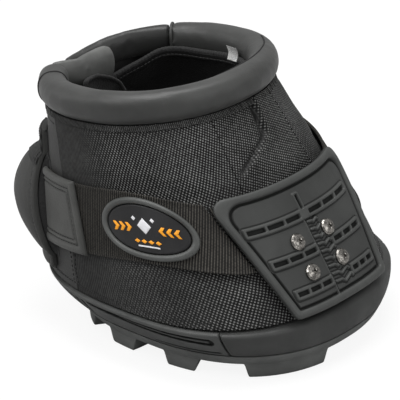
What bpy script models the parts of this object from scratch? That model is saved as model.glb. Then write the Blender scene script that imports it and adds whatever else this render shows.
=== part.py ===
"""Horse hoof boot: rubber sole and cup, woven upper, padded collar, strapped front shield.

Toe along +X, far side along +Y, ground at z = 0. Angles run round the boot from the toe (0 degrees),
positive on the far side. A share runs up the upper's wall, from 0 at the cup to 1 under the collar.
"""
import math

import bmesh
import bpy
import numpy as np
from mathutils import Matrix, Vector

MM = 0.001
GAP = 0.3 * MM
OVERRUN = 2.0 * MM
STEP_ANGLE = 5.0
SEAM_ANGLE = 0.25

# Sole
LUG_HEIGHT = 8.0 * MM
LUG_DRAFT = 3.0 * MM
LUG_SINK = 0.5 * MM
OUTSOLE_THICKNESS = 6.0 * MM
TREAD_FRONT = 75.5 * MM
TREAD_REAR = 70.5 * MM
TREAD_HALF_WIDTH = 70.0 * MM
BAND_FLARE_FRONT = 3.0 * MM
BAND_FLARE_REAR = 7.0 * MM
BAND_FLARE_SIDE = 4.0 * MM
TREAD_FRONT_POWER = 2.34
TREAD_REAR_POWER = 2.8
EDGE_LUG_ANGLES = ((11.0, 47.0), (65.0, 82.0), (97.0, 113.0), (125.0, 147.0), (160.0, 177.0))
EDGE_LUG_SHARES = (0.74, 0.995)
FAR_TOE_LUG_ANGLES = (31.0, 50.0)
FAR_TOE_LUG_SHARES = (0.72, 0.955)
LUG_STEP_ANGLE = 7.0
INNER_LUG_SHARES = (0.12, 0.62)
INNER_LUG_COUNT = 6
INNER_LUG_GAP_ANGLE = 14.0

# Cup and toe bumper
CUP_HEIGHT = 14.7 * MM
CUP_FLOOR = 3.0 * MM
CUP_WALL = 5.5 * MM
RAIL_OUT_SIDE = 2.5 * MM
RAIL_OUT_HEEL = 0.8 * MM
RAIL_HEEL_ANGLE = 150.0
CUP_BULGE = 1.5 * MM
BUMPER_HALF_ANGLE = 52.0
BUMPER_OUT = 2.8 * MM
BUMPER_CREST = 1.6 * MM
TOE_WALL_OUT = -1.5 * MM
TOE_FOOT_OUT = -3.0 * MM
WEDGE_GROOVE_DEPTH = 1.3 * MM
WEDGE_GROOVE_ANGLES = (55.0, 108.0)
WEDGE_GROOVE_FRONT = (7.6 * MM, 12.0 * MM)
WEDGE_GROOVE_REAR = (11.4 * MM, 12.8 * MM)
THIN_GROOVE_DEPTH = 0.8 * MM
THIN_GROOVE_ANGLES = (54.5, 82.0)
THIN_GROOVE_HEIGHTS = (1.8 * MM, 2.8 * MM)
GROOVE_EDGE = 0.35 * MM
PAD_THICKNESS = 4.0 * MM

# Upper wall
UPPER_CENTRE_X = -7.5 * MM
UPPER_FRONT = 80.0 * MM
UPPER_REAR = 88.0 * MM
UPPER_HALF_WIDTH = 81.0 * MM
UPPER_FRONT_POWER = 2.6
UPPER_REAR_POWER = 2.66
WALL_BULGE = 1.0 * MM
PANEL_THICKNESS = 2.0 * MM
LINER_THICKNESS = 2.0 * MM
BINDING_RADIUS = 1.6 * MM
GUSSET_HALF_ANGLE = 24.0
HEEL_SEAM_ANGLE = 113.0
REAR_JOIN_ANGLE = 202.0
LINER_FRONT_SHARE = 0.94
LINER_HEEL_SHARE = 0.86

# Collar
COLLAR_X = -51.0 * MM
COLLAR_Z = 125.5 * MM
COLLAR_TILT = 5.5
COLLAR_HALF_LENGTH = 52.5 * MM
COLLAR_HALF_WIDTH = 58.0 * MM
COLLAR_POWER = 2.14
COLLAR_FOOT_OUT = 4.0 * MM
COLLAR_FOOT_DROP = 8.3 * MM
ROLL_HALF_THICK = 7.8 * MM
ROLL_HALF_TALL = 8.5 * MM
ROLL_END = 5.0 * MM
ROLL_REAR_ANGLE = 147.0
FLAP_SEAM_ANGLE = 124.0
FLAP_END_ANGLE = 200.0
FLAP_SHARE = 0.86
FLAP_CLEARANCE = 1.0 * MM
FLAP_HALF_THICK = 3.4 * MM
FLAP_HALF_TALL = 8.3 * MM
FLAP_END = 4.0 * MM
FLAP_SWELL = 2.0 * MM
FLAP_SWELL_ANGLE = 154.0
FLAP_DROP = 3.5 * MM
FLAP_DROP_ANGLE = 150.0
TONGUE_END_ANGLE = 195.0
TONGUE_HALF_THICK = 4.3 * MM
TONGUE_ROOT_TALL = 7.6 * MM
TONGUE_TIP_TALL = 9.6 * MM
TONGUE_INSET = 9.0 * MM
TONGUE_DROP = 3.0 * MM
TONGUE_END = 7.0 * MM

# Heel sling, straps and keeper loops
STRAP_WIDTH = 37.0 * MM
STRAP_THICKNESS = 1.6 * MM
STRAP_LIFT_UNDER_SHIELD = 2.0 * MM
STRAP_HINGE_ANGLE = 101.0
STRAP_FRONT_ANGLE = 37.0
STRAP_ROOT_ANGLE = 125.0
STRAP_END_GAP_ANGLE = 0.3
FAR_STRAP_END_ANGLE = 31.0
STRAP_LEVEL_SHARES = (0.42, 0.49, 0.455, 0.36)
STRAP_LEVEL_ANGLES = (36.0, 69.0, 102.0, 180.0)
SLING_THICKNESS = 2.0 * MM
SLING_TAB_WIDTH = 39.0 * MM
SLING_REAR_WIDTH = 34.0 * MM
SLING_RAMP_ANGLES = (126.0, 133.0)
LOOP_WIDTH = 28.0 * MM
LOOP_THICKNESS = 3.5 * MM
LOOP_STAND_OFF = 12.0 * MM
LOOP_TWIST = 5.0 * MM
LOOP_SHARES = (0.06, 0.82)
LOOP_ANGLES = (134.0, 141.0)
LOOP_FLAT_SHARES = (0.09, 0.83)

# Badge
BADGE_ANGLE = 67.5
BADGE_LENGTH = 51.0 * MM
BADGE_HEIGHT = 33.0 * MM
BADGE_RIM = 3.4 * MM
BADGE_RIM_HEIGHT = 2.4 * MM
BADGE_INSERT_THICKNESS = 1.3 * MM

# Front shield
SHIELD_CENTRE = -1.2 * MM
SHIELD_LOW = 0.6 * MM
SHIELD_HEIGHT = 69.2 * MM
SHIELD_BOTTOM_HALF = 35.8 * MM
SHIELD_TOP_HALF = 50.5 * MM
SHIELD_TOP_RADIUS = 10.0 * MM
SHIELD_BOTTOM_RADIUS = 2.5 * MM
SHIELD_THICKNESS = 2.4 * MM
SHIELD_BORDER = 4.3 * MM
SHIELD_BORDER_HEIGHT = 1.4 * MM
RELIEF_SINK = 0.8 * MM
RIB_WIDTH = 5.6 * MM
RIB_HEIGHT = 0.9 * MM
RIB_LEVELS = (49.5 * MM, 30.5 * MM, 12.5 * MM)
RIB_NEAR_ENDS = (-41.8 * MM, -37.0 * MM, -32.2 * MM)
RIB_FAR_STARTS = (-2.3 * MM, 5.6 * MM, 9.0 * MM)
RIB_FAR_ENDS = (35.5 * MM, 32.0 * MM, 29.5 * MM)
RIB_CELLS = 3
RIB_RAIL = 1.1 * MM
RIB_POCKET_DEPTH = 0.8 * MM
SPINE_X = -6.0 * MM
SPINE_WIDTH = 0.8 * MM
STUB_WIDTH = 3.6 * MM
STUB_HEIGHT = 9.0 * MM
CHEVRON_COUNT = 10
CHEVRON_PITCH = 4.25 * MM
CHEVRON_TOP = 45.6 * MM
CHEVRON_START = -4.6 * MM
CHEVRON_TOP_END = 2.6 * MM
CHEVRON_LOW_END = 8.6 * MM
CHEVRON_BAR = 1.3 * MM
CHEVRON_DIP = 2.0 * MM
CHEVRON_HEIGHT = 0.7 * MM
SCREW_LEVELS = (37.8 * MM, 20.6 * MM)
SCREW_CENTRE = -5.0 * MM
SCREW_SIDE = 11.6 * MM
SHIELD_SLICE = 7.0 * MM

# Fasteners and closures behind the shield
LOOP_PANEL_THICKNESS = 0.5 * MM
LOOP_PANEL_HALF_WIDTH = 31.0 * MM
LOOP_PANEL_LEVELS = (5.0 * MM, 64.0 * MM)
NUT_FLANGE = 0.6 * MM
NUT_FLANGE_RADIUS = 5.0 * MM
NUT_BARREL_RADIUS = 2.9 * MM
NUT_BORE_RADIUS = 2.1 * MM
SCREW_SHANK_RADIUS = 1.8 * MM
SCREW_HEAD_RADIUS = 4.5 * MM
SCREW_HEAD_HEIGHT = 2.3 * MM
SCREW_HEAD_RIM = 0.7 * MM
RECESS_LENGTH = 5.0 * MM
RECESS_WIDTH = 1.0 * MM
RECESS_DEPTH = 1.2 * MM
SCREW_SIDES = 20
STRAP_END_REACH = 12.0 * MM
STRAP_END_LEVELS = (15.0 * MM, 43.5 * MM)
SCREW_SEAT_DEPTH = 0.1 * MM
HOOK_SIDE_INSET = 4.0 * MM
HOOK_SIDE_WIDTH = 12.0 * MM
HOOK_SIDE_LEVELS = (12.0 * MM, 60.0 * MM)
HOOK_LOW_RANGE = (-27.0 * MM, 12.0 * MM)
HOOK_LOW_LEVELS = (5.0 * MM, 12.5 * MM)

# Tags inside the collar
TAG_WIDTH = 7.0 * MM
TAG_HEIGHT = 9.0 * MM
TAG_THICKNESS = 0.5 * MM
TAG_ANGLES = (43.0, -166.0)


# Plane outlines of the sole

def polar_radius(angle, front, rear, half_width, front_power, rear_power):
    """Radius of an oval whose ends differ, at angles in radians."""
    cosine, sine = np.cos(angle), np.sin(angle)
    reach = np.where(cosine > 0, front, rear)
    power = np.where(cosine > 0, front_power, rear_power)
    return ((np.abs(cosine) / reach) ** power + (np.abs(sine) / half_width) ** power) ** (-1 / power)


def ring(angle, radius, centre_x, height):
    """Points at a radius round a centre on the X axis."""
    angle, radius = np.broadcast_arrays(np.asarray(angle, float), radius)
    return np.stack([centre_x + radius * np.cos(angle), radius * np.sin(angle), height + 0 * angle], -1)


def tread_ring(angle, height, share=1.0):
    radius = polar_radius(angle, TREAD_FRONT, TREAD_REAR, TREAD_HALF_WIDTH,
                          TREAD_FRONT_POWER, TREAD_REAR_POWER)
    return ring(angle, radius * share, 0.0, height)


def band_ring(angle, height, out=0.0):
    radius = polar_radius(angle, TREAD_FRONT + BAND_FLARE_FRONT, TREAD_REAR + BAND_FLARE_REAR,
                          TREAD_HALF_WIDTH + BAND_FLARE_SIDE, TREAD_FRONT_POWER, TREAD_REAR_POWER)
    return ring(angle, radius + out, 0.0, height)


CUP_BASE_Z = LUG_HEIGHT + OUTSOLE_THICKNESS + GAP
UPPER_BASE_Z = CUP_BASE_Z + CUP_HEIGHT


def upper_ring(angle, out=0.0):
    radius = polar_radius(angle, UPPER_FRONT, UPPER_REAR, UPPER_HALF_WIDTH,
                          UPPER_FRONT_POWER, UPPER_REAR_POWER)
    return ring(angle, radius + out, UPPER_CENTRE_X, UPPER_BASE_Z)


def cup_point(angle, height, out):
    """Point of the cup's wall at a height above its base, from the band flaring out to the upper."""
    share = np.asarray(height)[..., None] / CUP_HEIGHT
    low = band_ring(angle, CUP_BASE_Z, out)
    high = upper_ring(angle, out)
    swell = np.stack([np.cos(angle), np.sin(angle), 0 * angle], -1) * (CUP_BULGE * 4 * share * (1 - share))
    return low + (high - low) * share + swell


# The upper's wall and the collar above it

def collar_point(angle, out, rise):
    """Point beside the collar's centre line: out across it, rise square to its tilted plane."""
    radius = out + polar_radius(angle, COLLAR_HALF_LENGTH, COLLAR_HALF_LENGTH, COLLAR_HALF_WIDTH,
                                COLLAR_POWER, COLLAR_POWER)
    tilt = math.radians(COLLAR_TILT)
    along, across = radius * np.cos(angle), radius * np.sin(angle)
    x = COLLAR_X + along * math.cos(tilt) - rise * math.sin(tilt)
    z = COLLAR_Z + along * math.sin(tilt) + rise * math.cos(tilt)
    return np.stack([x, across, z], -1)


def wall_base(angle, share):
    low = upper_ring(angle)
    high = collar_point(angle, COLLAR_FOOT_OUT, -COLLAR_FOOT_DROP)
    share = share[..., None]
    ahead = np.clip(np.cos(angle), 0, 1)[..., None] ** 2
    swell = np.stack([np.cos(angle), np.sin(angle), 0.5 + 0 * angle], -1)
    return low + (high - low) * share + swell * ahead * WALL_BULGE * 4 * share * (1 - share)


def wall_normal(angle, share):
    small = 1e-4
    across = wall_base(angle + small, share) - wall_base(angle - small, share)
    upward = wall_base(angle, share + small) - wall_base(angle, share - small)
    normal = np.cross(across, upward)
    return normal / np.linalg.norm(normal, axis=-1, keepdims=True)


def wall_point(angle, share, out):
    """Point on the upper's wall, out along its own normal. Angles in radians."""
    angle, share, out = np.broadcast_arrays(np.asarray(angle, float), share, out)
    return wall_base(angle, share) + wall_normal(angle, share) * out[..., None]


def wall_length(angle):
    """Length of the wall from the cup to the collar's foot at an angle."""
    angle = np.asarray(angle, float)
    foot = wall_base(angle, np.zeros_like(angle))
    return np.linalg.norm(wall_base(angle, np.ones_like(angle)) - foot, axis=-1)


def angle_at(distance, share):
    """Angle whose arc from the toe line, measured round the wall at a share, is the distance."""
    distance, share = np.broadcast_arrays(np.asarray(distance, float), np.asarray(share, float))
    turns = np.radians(np.linspace(0.0, 180.0, 181))
    points = wall_base(turns[None, :] + 0 * share.reshape(-1, 1), share.reshape(-1, 1) + 0 * turns[None, :])
    steps = np.linalg.norm(np.diff(points, axis=1), axis=-1)
    arcs = np.concatenate([np.zeros((len(steps), 1)), np.cumsum(steps, axis=1)], axis=1)
    found = [np.interp(abs(d), arc, turns) for d, arc in zip(distance.ravel(), arcs)]
    return np.sign(distance) * np.reshape(found, distance.shape)


def arc_to(angle_degrees, share):
    """Arc length round the wall from the toe line to an angle, at a share."""
    turns = np.radians(np.linspace(0.0, angle_degrees, 181))
    points = wall_base(turns, np.full_like(turns, share))
    return float(np.linalg.norm(np.diff(points, axis=0), axis=-1).sum())


def lowest_share(angle, out_inner):
    """Share at which a layer's lower edge clears the cup's rim."""
    angle = np.asarray(angle, float)
    zero = np.zeros_like(angle)
    rise = wall_base(angle, zero + 1)[..., 2] - UPPER_BASE_Z
    slope = wall_normal(angle, zero)[..., 2]
    return (GAP + np.maximum(slope * -out_inner, 0)) / rise


# Mesh helpers

def new_object(name, bm, material, parent=None):
    bmesh.ops.recalc_face_normals(bm, faces=bm.faces)
    mesh = bpy.data.meshes.new(name)
    bm.to_mesh(mesh)
    bm.free()
    return place_mesh(name, mesh, material, parent)


def place_mesh(name, mesh, material, parent=None):
    obj = bpy.data.objects.new(name, mesh)
    bpy.context.scene.collection.objects.link(obj)
    mesh.materials.clear()
    mesh.materials.append(material)
    mesh.shade_smooth()
    mesh.set_sharp_from_angle(angle=math.radians(35))
    if parent is not None:
        mesh.transform(Matrix.Translation(-parent.location))
        obj.parent = parent
    return obj


def finish(name, colour, roughness, metallic=0.0):
    material = bpy.data.materials.new(name)
    material.use_nodes = True
    shader = material.node_tree.nodes["Principled BSDF"]
    shader.inputs["Base Color"].default_value = (*colour, 1.0)
    shader.inputs["Roughness"].default_value = roughness
    shader.inputs["Metallic"].default_value = metallic
    return material


def grid_faces(bm, grid, wrap):
    """Quads between neighbouring rows and columns of a grid of vertices."""
    columns = len(grid[0])
    last = columns if wrap else columns - 1
    for upper, lower in zip(grid[1:], grid[:-1]):
        for i in range(last):
            j = (i + 1) % columns
            bm.faces.new((lower[i], lower[j], upper[j], upper[i]))


def vertex_rows(bm, rows):
    return [[bm.verts.new(point) for point in row] for row in rows]


def lofted(name, rows, material, parent=None):
    """Closed solid through rings of points, with its first and last ring filled."""
    bm = bmesh.new()
    grid = vertex_rows(bm, rows)
    grid_faces(bm, grid, wrap=True)
    bm.faces.new(grid[0])
    bm.faces.new(grid[-1][::-1])
    return new_object(name, bm, material, parent)


def closed_ring(name, rows, material, parent=None):
    """Closed solid like a bent tyre: rings of section points, joined round and end to start."""
    bm = bmesh.new()
    grid = vertex_rows(bm, rows)
    grid.append(grid[0])
    grid_faces(bm, grid, wrap=True)
    return new_object(name, bm, material, parent)


def column_angles(start, end, extra=()):
    """Angles in degrees from start to end, on the shared stations and at the two ends."""
    first = math.floor(min(start, end) / STEP_ANGLE) + 1
    last = math.ceil(max(start, end) / STEP_ANGLE) - 1
    inner = [n * STEP_ANGLE for n in range(first, last + 1)]
    tight = 0.2 * STEP_ANGLE
    inner = [a for a in inner if abs(a - start) > tight and abs(a - end) > tight]
    return np.array(sorted({start, end, *inner, *extra}))


def wall_layer(name, angles, low, high, inner, outer, rows, material, parent=None):
    """A layer of the upper between two angles; low and high give its share at each angle."""
    turns = np.radians(angles)
    bottom, top = low(turns), high(turns)
    sections = []
    for level in np.linspace(0.0, 1.0, rows):
        share = bottom + (top - bottom) * level
        sections.append((wall_point(turns, share, inner), wall_point(turns, share, outer)))
    loop = [pair[1] for pair in sections] + [pair[0] for pair in reversed(sections)]
    return lofted(name, np.stack(loop, axis=1), material, parent)


def rounded_corners(corners, radii, steps):
    """Outline of a convex polygon, anticlockwise, with each corner turned on its own radius."""
    points = []
    count = len(corners)
    for i, (corner, radius) in enumerate(zip(corners, radii)):
        here = np.array(corner)
        back = np.array(corners[i - 1]) - here
        ahead = np.array(corners[(i + 1) % count]) - here
        back /= np.linalg.norm(back)
        ahead /= np.linalg.norm(ahead)
        half = math.acos(float(np.clip(back @ ahead, -1, 1))) / 2
        centre = here + (back + ahead) / np.linalg.norm(back + ahead) * (radius / math.sin(half))
        start = here + back * (radius / math.tan(half)) - centre
        sweep = math.pi - 2 * half
        for step in np.linspace(0.0, sweep, steps):
            turned = (start[0] * math.cos(step) - start[1] * math.sin(step),
                      start[0] * math.sin(step) + start[1] * math.cos(step))
            points.append((centre[0] + turned[0], centre[1] + turned[1]))
    return points


def inset_corners(corners, distance):
    """Corners of the same anticlockwise polygon with every side moved inwards."""
    count = len(corners)
    sides = []
    for i in range(count):
        a, b = np.array(corners[i]), np.array(corners[(i + 1) % count])
        along = (b - a) / np.linalg.norm(b - a)
        normal = np.array((-along[1], along[0]))
        sides.append((a + normal * distance, along))
    moved = []
    for i in range(count):
        (p, d), (q, e) = sides[i - 1], sides[i]
        travel = ((q - p)[0] * e[1] - (q - p)[1] * e[0]) / (d[0] * e[1] - d[1] * e[0])
        moved.append(tuple(p + d * travel))
    return moved


def oval(length, height, count):
    turns = np.linspace(0.0, 2 * math.pi, count, endpoint=False)
    return [(length / 2 * math.cos(a), height / 2 * math.sin(a)) for a in turns]


def rectangle(x0, x1, y0, y1):
    return [(x0, y0), (x1, y0), (x1, y1), (x0, y1)]


def add_prism(bm, outline, low, high):
    """Straight prism over an anticlockwise outline."""
    bottom = [bm.verts.new((x, y, low)) for x, y in outline]
    top = [bm.verts.new((x, y, high)) for x, y in outline]
    bm.faces.new(bottom[::-1])
    bm.faces.new(top)
    for i, vertex in enumerate(bottom):
        j = (i + 1) % len(bottom)
        bm.faces.new((vertex, bottom[j], top[j], top[i]))


def add_frame(bm, outer, inner, low, high):
    """Straight frame between two outlines with as many points each."""
    loops = [[bm.verts.new((x, y, z)) for x, y in outline]
             for outline, z in ((outer, low), (outer, high), (inner, high), (inner, low))]
    loops.append(loops[0])
    grid_faces(bm, loops, wrap=True)


def scratch_object(bm):
    bmesh.ops.recalc_face_normals(bm, faces=bm.faces)
    mesh = bpy.data.meshes.new("scratch")
    bm.to_mesh(mesh)
    bm.free()
    obj = bpy.data.objects.new("scratch", mesh)
    bpy.context.scene.collection.objects.link(obj)
    return obj


def cut_or_joined(base, changes):
    """The mesh of a flat base after (operation, bmesh) changes; the helpers are removed."""
    target = scratch_object(base)
    helpers = []
    for operation, bm in changes:
        helper = scratch_object(bm)
        helper.hide_render = True
        helper.display_type = "WIRE"
        modifier = target.modifiers.new(operation.lower(), "BOOLEAN")
        modifier.operation = operation
        modifier.solver = "EXACT"
        modifier.object = helper
        helpers.append(helper)
    depsgraph = bpy.context.evaluated_depsgraph_get()
    result = bmesh.new()
    result.from_mesh(target.evaluated_get(depsgraph).to_mesh())
    for obj in (target, *helpers):
        bpy.data.objects.remove(obj, do_unlink=True)
    return result


def laid_on(name, bm, place, slices, material, parent=None):
    """A flat solid sliced across X and Y, then laid on the boot by place(x, y, z)."""
    for axis, positions in enumerate(slices):
        normal = [0.0, 0.0, 0.0]
        normal[axis] = 1.0
        for position in positions:
            point = [0.0, 0.0, 0.0]
            point[axis] = position
            bmesh.ops.bisect_plane(bm, geom=bm.verts[:] + bm.edges[:] + bm.faces[:],
                                   plane_co=point, plane_no=normal, dist=GAP / 100)
    bmesh.ops.triangulate(bm, faces=bm.faces)
    flat = np.array([vertex.co for vertex in bm.verts])
    for vertex, point in zip(bm.verts, place(flat[:, 0], flat[:, 1], flat[:, 2])):
        vertex.co = point
    return new_object(name, bm, material, parent)


def even_slices(low, high, spacing):
    count = max(1, round((high - low) / spacing))
    return [low + (high - low) * i / count for i in range(1, count)]


# Sole pieces

def lug(bm, angles, shares):
    """One tread block: a sector of the tread, smaller at the ground than at its root."""
    start, end = angles
    count = max(3, round((end - start) / LUG_STEP_ANGLE) + 1)
    loops = []
    for height, draft in ((0.0, LUG_DRAFT), (LUG_HEIGHT + LUG_SINK, 0.0)):
        swing = math.degrees(draft / TREAD_HALF_WIDTH / shares[1])
        turns = np.radians(np.linspace(start + swing, end - swing, count))
        ease = draft / TREAD_HALF_WIDTH / 3
        outer = tread_ring(turns, height, shares[1] - ease)
        inner = tread_ring(turns[::-1], height, shares[0] + ease)
        loops.append([bm.verts.new(point) for point in np.concatenate([outer, inner])])
    grid_faces(bm, loops, wrap=True)
    bm.faces.new(loops[0])
    bm.faces.new(loops[1][::-1])


def build_outsole(material):
    turns = np.radians(np.arange(-180.0, 180.0, STEP_ANGLE))
    slab = bmesh.new()
    rows = vertex_rows(slab, [tread_ring(turns, LUG_HEIGHT),
                              band_ring(turns, LUG_HEIGHT + OUTSOLE_THICKNESS)])
    grid_faces(slab, rows, wrap=True)
    slab.faces.new(rows[0])
    slab.faces.new(rows[1][::-1])
    lugs = bmesh.new()
    for index, (start, end) in enumerate(EDGE_LUG_ANGLES):
        lug(lugs, (-end, -start), EDGE_LUG_SHARES)
        if index > 0:
            lug(lugs, (start, end), EDGE_LUG_SHARES)
    lug(lugs, FAR_TOE_LUG_ANGLES, FAR_TOE_LUG_SHARES)
    sector = 360.0 / INNER_LUG_COUNT
    for i in range(INNER_LUG_COUNT):
        lug(lugs, (i * sector + INNER_LUG_GAP_ANGLE / 2, (i + 1) * sector - INNER_LUG_GAP_ANGLE / 2),
            INNER_LUG_SHARES)
    tread = cut_or_joined(slab, [("UNION", lugs)])
    new_object("outsole", tread, material)


def groove_amount(angle_degrees, limits):
    side = np.abs(angle_degrees)
    start, end = limits
    return np.clip((side - start) / 1.0, 0, 1) * np.clip((end - side) / 1.0, 0, 1)


def cup_rows(angles):
    """Rows up the outside of the cup and down its inside, as points for each angle."""
    turns = np.radians(angles)
    side = np.abs(angles)
    at_toe = side < BUMPER_HALF_ANGLE + SEAM_ANGLE
    heel = np.clip((side - HEEL_SEAM_ANGLE) / (RAIL_HEEL_ANGLE - HEEL_SEAM_ANGLE), 0, 1)
    rail = np.where(at_toe, TOE_WALL_OUT, RAIL_OUT_SIDE + (RAIL_OUT_HEEL - RAIL_OUT_SIDE) * heel)
    foot = np.where(at_toe, TOE_FOOT_OUT, 0.0)
    wedge = groove_amount(angles, WEDGE_GROOVE_ANGLES) * WEDGE_GROOVE_DEPTH
    thin = groove_amount(angles, THIN_GROOVE_ANGLES) * THIN_GROOVE_DEPTH
    back = np.clip((side - WEDGE_GROOVE_ANGLES[0]) / (WEDGE_GROOVE_ANGLES[1] - WEDGE_GROOVE_ANGLES[0]), 0, 1)
    low = WEDGE_GROOVE_FRONT[0] + (WEDGE_GROOVE_REAR[0] - WEDGE_GROOVE_FRONT[0]) * back
    high = WEDGE_GROOVE_FRONT[1] + (WEDGE_GROOVE_REAR[1] - WEDGE_GROOVE_FRONT[1]) * back
    flat = 0 * angles
    outside = [(flat, flat)]
    outside += [(flat + THIN_GROOVE_HEIGHTS[0] - GROOVE_EDGE, flat), (flat + THIN_GROOVE_HEIGHTS[0], thin),
                (flat + THIN_GROOVE_HEIGHTS[1], thin), (flat + THIN_GROOVE_HEIGHTS[1] + GROOVE_EDGE, flat)]
    outside += [(low - GROOVE_EDGE, flat), (low, wedge), (high, wedge), (high + GROOVE_EDGE, flat)]
    outside += [(flat + CUP_HEIGHT, flat)]
    rows = []
    for height, depth in outside:
        out = foot + (rail - foot) * height / CUP_HEIGHT - depth
        rows.append(cup_point(turns, height, out))
    for height in (CUP_HEIGHT, (CUP_HEIGHT + CUP_FLOOR) / 2, CUP_FLOOR):
        rows.append(cup_point(turns, flat + height, -CUP_WALL))
    return rows


def build_cup(material):
    step = STEP_ANGLE / 10
    edges = []
    for limit in (BUMPER_HALF_ANGLE, BUMPER_HALF_ANGLE + step):
        edges += [limit, -limit]
    for start, end in (WEDGE_GROOVE_ANGLES, THIN_GROOVE_ANGLES):
        edges += [start, -start, start + 1, -start - 1, end, -end, end - 1, 1 - end]
    regular = [a for a in np.arange(-180.0, 180.0, STEP_ANGLE) if min(abs(a - e) for e in edges) > 1.2]
    angles = np.array(sorted(regular + edges))
    lofted("sole_cup", cup_rows(angles), material)


def build_bumper(material):
    """Smooth toe bumper: rounded at its rim, standing on the outsole before the cup's toe wall."""
    angles = column_angles(-BUMPER_HALF_ANGLE + SEAM_ANGLE, BUMPER_HALF_ANGLE - SEAM_ANGLE)
    turns = np.radians(angles)
    flat = 0 * turns
    inner_foot, inner_top = TOE_FOOT_OUT + GAP, TOE_WALL_OUT + GAP
    section = [(0.0, inner_foot), (0.0, 0.0)]
    section += [(CUP_HEIGHT * share, BUMPER_OUT * share) for share in (0.3, 0.6)]
    crest = CUP_HEIGHT - BUMPER_CREST
    for turn in (0.0, 30.0, 60.0, 90.0):
        rise = BUMPER_CREST * math.sin(math.radians(turn))
        draw = BUMPER_CREST * (1 - math.cos(math.radians(turn)))
        section.append((crest + rise, BUMPER_OUT - draw))
    for share in (1.0, 0.8, 0.6, 0.4, 0.2):
        section.append((CUP_HEIGHT * share, inner_foot + (inner_top - inner_foot) * share))
    rows = [cup_point(turns, flat + height, out) for height, out in section]
    lofted("toe_bumper", np.stack(rows, axis=1), material)


def build_insole(material):
    turns = np.radians(np.arange(-180.0, 180.0, STEP_ANGLE))
    flat = 0 * turns
    low, high = CUP_FLOOR + GAP, CUP_FLOOR + GAP + PAD_THICKNESS
    rows = [cup_point(turns, flat + height, -CUP_WALL - 1.5 * GAP) for height in (low, high)]
    lofted("insole_pad", rows, material)


# Upper pieces

def build_panels(woven, smooth):
    def foot(turns):
        return lowest_share(turns, -PANEL_THICKNESS)

    def crown(turns):
        return 1.0 + 0 * turns

    def under_flap(turns):
        return FLAP_SHARE - GAP / wall_length(turns) + 0 * turns

    panels = (("near_side_panel", SEAM_ANGLE - HEEL_SEAM_ANGLE, -GUSSET_HALF_ANGLE, crown, woven),
              ("front_gusset", SEAM_ANGLE - GUSSET_HALF_ANGLE, GUSSET_HALF_ANGLE - SEAM_ANGLE, crown, woven),
              ("far_side_panel", GUSSET_HALF_ANGLE, FLAP_SEAM_ANGLE - SEAM_ANGLE, crown, woven),
              ("near_heel_panel", REAR_JOIN_ANGLE + SEAM_ANGLE - 360.0, -HEEL_SEAM_ANGLE, crown, smooth),
              ("far_heel_panel", FLAP_SEAM_ANGLE, REAR_JOIN_ANGLE, under_flap, smooth))
    for name, start, end, top, material in panels:
        wall_layer(name, column_angles(start, end), foot, top, -PANEL_THICKNESS, 0.0, 5, material)


def liner_top(turns):
    """Share of the liner's upper edge, dipping at the heel."""
    dip = np.clip(-np.cos(turns), 0, 1) ** 3
    return LINER_FRONT_SHARE + (LINER_HEEL_SHARE - LINER_FRONT_SHARE) * dip


LINER_OUTER = -PANEL_THICKNESS - 1.3 * GAP
LINER_INNER = LINER_OUTER - LINER_THICKNESS


def build_liner(cloth, binding):
    turns = np.radians(np.arange(-180.0, 180.0, STEP_ANGLE))
    low, high = lowest_share(turns, LINER_INNER), liner_top(turns)
    rows = []
    for level in np.linspace(0.0, 1.0, 5):
        rows.append(wall_point(turns, low + (high - low) * level, LINER_OUTER))
    for level in np.linspace(1.0, 0.0, 5):
        rows.append(wall_point(turns, low + (high - low) * level, LINER_INNER))
    closed_ring("liner", rows, cloth)
    middle = (LINER_OUTER + LINER_INNER) / 2 - (BINDING_RADIUS - LINER_THICKNESS / 2)
    lift = (BINDING_RADIUS + GAP) / wall_length(turns)
    beads = []
    for turn in np.radians(np.arange(0.0, 360.0, 45.0)):
        share = high + lift + BINDING_RADIUS * math.sin(turn) / wall_length(turns)
        beads.append(wall_point(turns, share, middle + BINDING_RADIUS * math.cos(turn)))
    closed_ring("liner_binding", beads, binding)


def padded_roll(name, start, end, shape, end_length, material, parent=None, sides=10):
    """Padded tube along the collar, its far end domed; shape gives (out, rise, half_thick, half_tall)."""
    reach = abs(math.radians(end - start)) * (COLLAR_HALF_LENGTH + COLLAR_HALF_WIDTH) / 2
    dome = min(end_length / reach, 0.45)
    body = np.linspace(dome, 1 - dome, max(4, round(abs(end - start) / (STEP_ANGLE * 1.2))))
    cap = dome * (1 - np.cos(np.radians((12.0, 35.0, 60.0))))
    stations = np.concatenate([[0.0], body, 1 - cap[::-1]])
    rows = []
    for station in stations:
        angle = start + (end - start) * station
        out, rise, half_thick, half_tall = shape(angle)
        inward = max(0.0, 1 - (1 - station) / dome)
        scale = math.sqrt(max(1 - inward ** 2, 0.0))
        row = []
        for turn in np.linspace(0.0, 2 * math.pi, sides, endpoint=False):
            dx = math.copysign(abs(math.cos(turn)) ** 0.85, math.cos(turn)) * half_thick * scale
            dz = math.copysign(abs(math.sin(turn)) ** 0.85, math.sin(turn)) * half_tall * scale
            row.append(collar_point(np.radians(angle), out + dx, rise + dz))
        rows.append(row)
    return lofted(name, rows, material, parent)


def smooth_share(value, start, end):
    share = np.clip((value - start) / (end - start), 0.0, 1.0)
    return share * share * (3 - 2 * share)


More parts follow.
